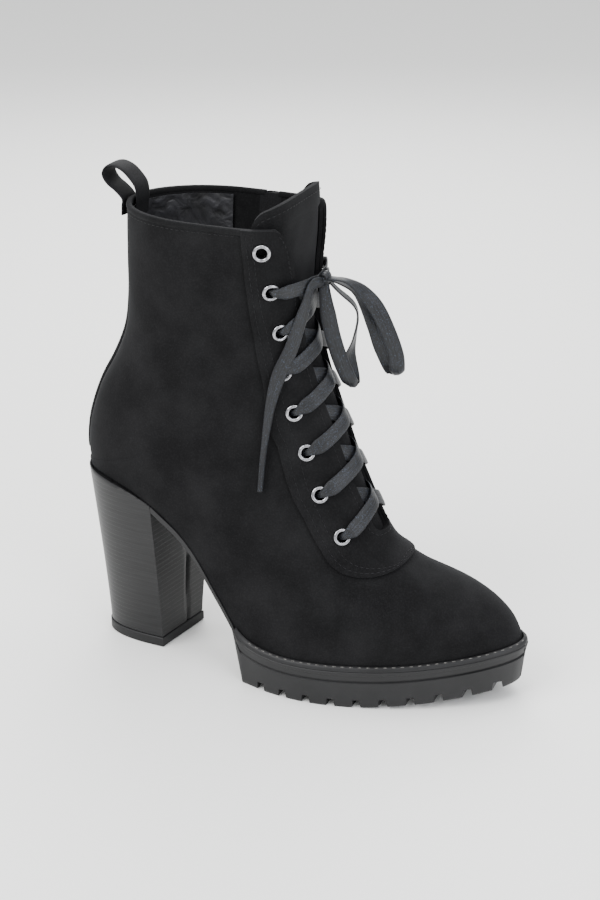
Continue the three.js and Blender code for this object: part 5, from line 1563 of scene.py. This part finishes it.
class BOOT_OT_stitching(bpy.types.Operator):
    """Rows of stitches on the upper's panels and along the tongue's top"""

    bl_idname = "boot.stitching"
    bl_label = "Add stitching"
    bl_options = {"REGISTER", "UNDO"}

    def execute(self, context):
        on_upper, on_stay = 0.06, mm("overlay") + GAP + 0.05
        # The row under the binding, which leaves out the eyestay and the zip
        rows = [surface_row(np.full(count, 0.36), np.linspace(first, last, count), on_upper)
                for first, last, count in ((-0.975, -0.425, 80), (0.6, 0.975, 60), (0.425, 0.5, 14))]
        # Two rows inside the eyestay's outer edge and one along the throat. A row leaves its edge sideways
        # beside the throat and up or down the last near the centre line.
        edges = (OUTER, EYESTAY_END, 1.6), (OUTER, EYESTAY_END, 3.6), (THROAT, THROAT_END, -2.2)
        for column, end, inset in edges:
            station, half = edge_place(np.linspace(0.012, 1, 150), column, end)
            near_centre = np.clip((0.13 - half) / 0.13, 0, 1)
            if column == OUTER:
                station = station - 1.3 * inset / STATION_LENGTH * near_centre
                half = half - 1.05 * inset / ROUND_LENGTH
                station, half = station[half > 0.004], half[half > 0.004]
            else:
                station = station - 0.9 * inset / STATION_LENGTH * near_centre
                half = np.maximum(half - inset / ROUND_LENGTH * np.clip(half / 0.05, 0, 1), 1e-6)
            rows += [surface_row(station, side * half, on_stay) for side in (-1, 1)]
        # One row on each side of the backstay
        station = np.linspace(0.4, 8.6, 90)
        rows += [surface_row(station, beside_seam(station, offset), on_upper) for offset in (-5.2, 5.2)]
        # Rows beside the zip, and the curved seam from the eyestay down to its foot
        station, around = zip_grid(COLLAR - 3.5, ZIP_FOOT - 2, 7.6, 60, 2, 24, 2)
        rows += [surface_row(station[:, k], around[:, k], on_upper) for k in (0, 1)]
        share = np.linspace(0, 1, 40)
        foot_station, foot_around = zip_place(ZIP_FOOT - 2)
        start_station, start_around = station_at_level(1.03), 0.32
        station = start_station + (foot_station - start_station) * share**1.3
        rows.append(surface_row(station, start_around + (foot_around - start_around) * share**0.8, on_upper))
        finish_piece(stitch_rows("panel_stitches", rows), "suede", black_thread)

        around = np.linspace(-0.93, 0.93, 60) * TONGUE_EDGE
        row = surface_row(tongue_top(around) + 0.27, around, 0.85 - mm("wall") - GAP)
        finish_piece(stitch_rows("tongue_stitches", [row]), "suede", black_thread)
        return {"FINISHED"}


class BOOT_OT_stage(bpy.types.Operator):
    """A plain pale floor and soft studio light"""

    bl_idname = "boot.stage"
    bl_label = "Add stage"
    bl_options = {"REGISTER", "UNDO"}

    def execute(self, context):
        deselect()
        bpy.ops.mesh.primitive_plane_add(size=scene_sizes().floor)
        floor = bpy.context.object
        floor.name = "floor"
        paint = new_material("painted floor, matt", {"Roughness": 0.8, "Base Color": linear("#efefed")})
        floor.data.materials.append(paint)
        for name, place, size, power, tint in (
            ("key", (-0.55, -0.9, 1.15), 0.9, 22, "#ffffff"),
            ("fill", (1.0, -0.5, 0.7), 0.8, 9, "#f6f8ff"),
            ("top", (0.05, 0.15, 1.35), 1.1, 16, "#ffffff"),
            ("rim", (-0.4, 0.9, 0.8), 0.7, 9, "#ffffff"),
        ):
            data = bpy.data.lights.new(name, "AREA")
            data.size = size
            data.energy = power
            data.color = linear(tint)[:3]
            stand(name, data, place, (0, 0, 0.1))
        world = bpy.data.worlds.new("studio")
        world.use_nodes = True
        fill_sockets(world.node_tree.nodes["Background"], {"Color": linear("#f4f5f6"), "Strength": 1.3})
        context.scene.world = world
        return {"FINISHED"}


# ---- Add-on ----

def length_property(name, description, default):
    """A size in metres."""
    return FloatProperty(
        name=name, description=description, default=default, min=0, unit="LENGTH", subtype="DISTANCE")


class BootSizes(bpy.types.PropertyGroup):
    """Sizes of the boot."""

    wall: length_property("Upper wall", "Thickness of the suede with its lining", 0.0018)
    overlay: length_property("Overlay", "Thickness of the eyestay and backstay", 0.0012)
    tongue: length_property("Tongue", "Thickness of the tongue", 0.0024)
    lace_width: length_property("Lace width", "Width of the flat ribbon", RIBBON_WIDTH)
    lace_thickness: length_property("Lace thickness", "Thickness of the ribbon in the lacing", 0.0009)
    cord_thickness: length_property("Bow thickness", "Thickness of the ribbon in the bow", 0.001)
    zip_width: length_property("Zip width", "Width of the closed coil chain", 0.0065)
    coil_pitch: length_property("Coil pitch", "Distance from one turn of the coil to the next", 0.0016)
    crease_depth: FloatProperty(
        name="Creases", description="Strength of the soft creases", default=1.0, min=0)
    floor: length_property("Floor", "Side of the floor under the boot", 12.0)


def colour_property(name, description, default):
    """A colour as sRGB hex."""
    return StringProperty(name=name, description=description + ", as sRGB hex", default=default)


class BootColours(bpy.types.PropertyGroup):
    """Colours of the boot."""

    suede: colour_property("Suede", "Suede against the nap", "#0a0a0b")
    suede_light: colour_property("Suede, stroked", "Suede with the nap", "#1b1b1c")
    lining: colour_property("Lining", "Short-pile lining", "#191919")
    rubber: colour_property("Sole", "Moulded rubber sole", "#141415")
    heel: colour_property("Heel", "Lacquered heel board", "#121213")
    lace: colour_property("Lace", "Satin ribbon", "#0e0f11")
    nickel: colour_property("Metal", "Nickel plate", "#a9a9ac")
    thread: colour_property("Thread", "Sewing thread", "#0e0e0f")
    welt_thread: colour_property("Welt thread", "Waxed welt thread", "#353433")


# In the order of making: the camera and the cords come first
OPERATORS = (
    BOOT_OT_camera, BOOT_OT_bow, BOOT_OT_upper, BOOT_OT_stays, BOOT_OT_binding, BOOT_OT_tongue,
    BOOT_OT_insole, BOOT_OT_heel_grip, BOOT_OT_outsole, BOOT_OT_welt, BOOT_OT_heel, BOOT_OT_pull_loop,
    BOOT_OT_eyelets, BOOT_OT_laces, BOOT_OT_zip_chain, BOOT_OT_zip_slider, BOOT_OT_stitching,
    BOOT_OT_stage,
)


class BOOT_PT_panel(bpy.types.Panel):
    """Sizes, colours and pieces of the boot."""

    bl_label = "Lace Up Ankle Boot"
    bl_idname = "BOOT_PT_panel"
    bl_space_type = "VIEW_3D"
    bl_region_type = "UI"
    bl_category = "Boot"

    def draw(self, context):
        for group in (scene_sizes(), scene_colours()):
            for name in group.__annotations__:
                self.layout.prop(group, name)
        for operator in OPERATORS:
            self.layout.operator(operator.bl_idname)


CLASSES = (BootSizes, BootColours, *OPERATORS, BOOT_PT_panel)


def register():
    for each in CLASSES:
        bpy.utils.register_class(each)
    bpy.types.Scene.boot_sizes = PointerProperty(type=BootSizes)
    bpy.types.Scene.boot_colours = PointerProperty(type=BootColours)


def unregister():
    del bpy.types.Scene.boot_colours
    del bpy.types.Scene.boot_sizes
    for each in reversed(CLASSES):
        bpy.utils.unregister_class(each)


def main():
    """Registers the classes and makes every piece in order."""
    register()
    for operator in OPERATORS:
        getattr(bpy.ops.boot, operator.bl_idname.split(".")[1])()


if __name__ == "__main__":
    main()
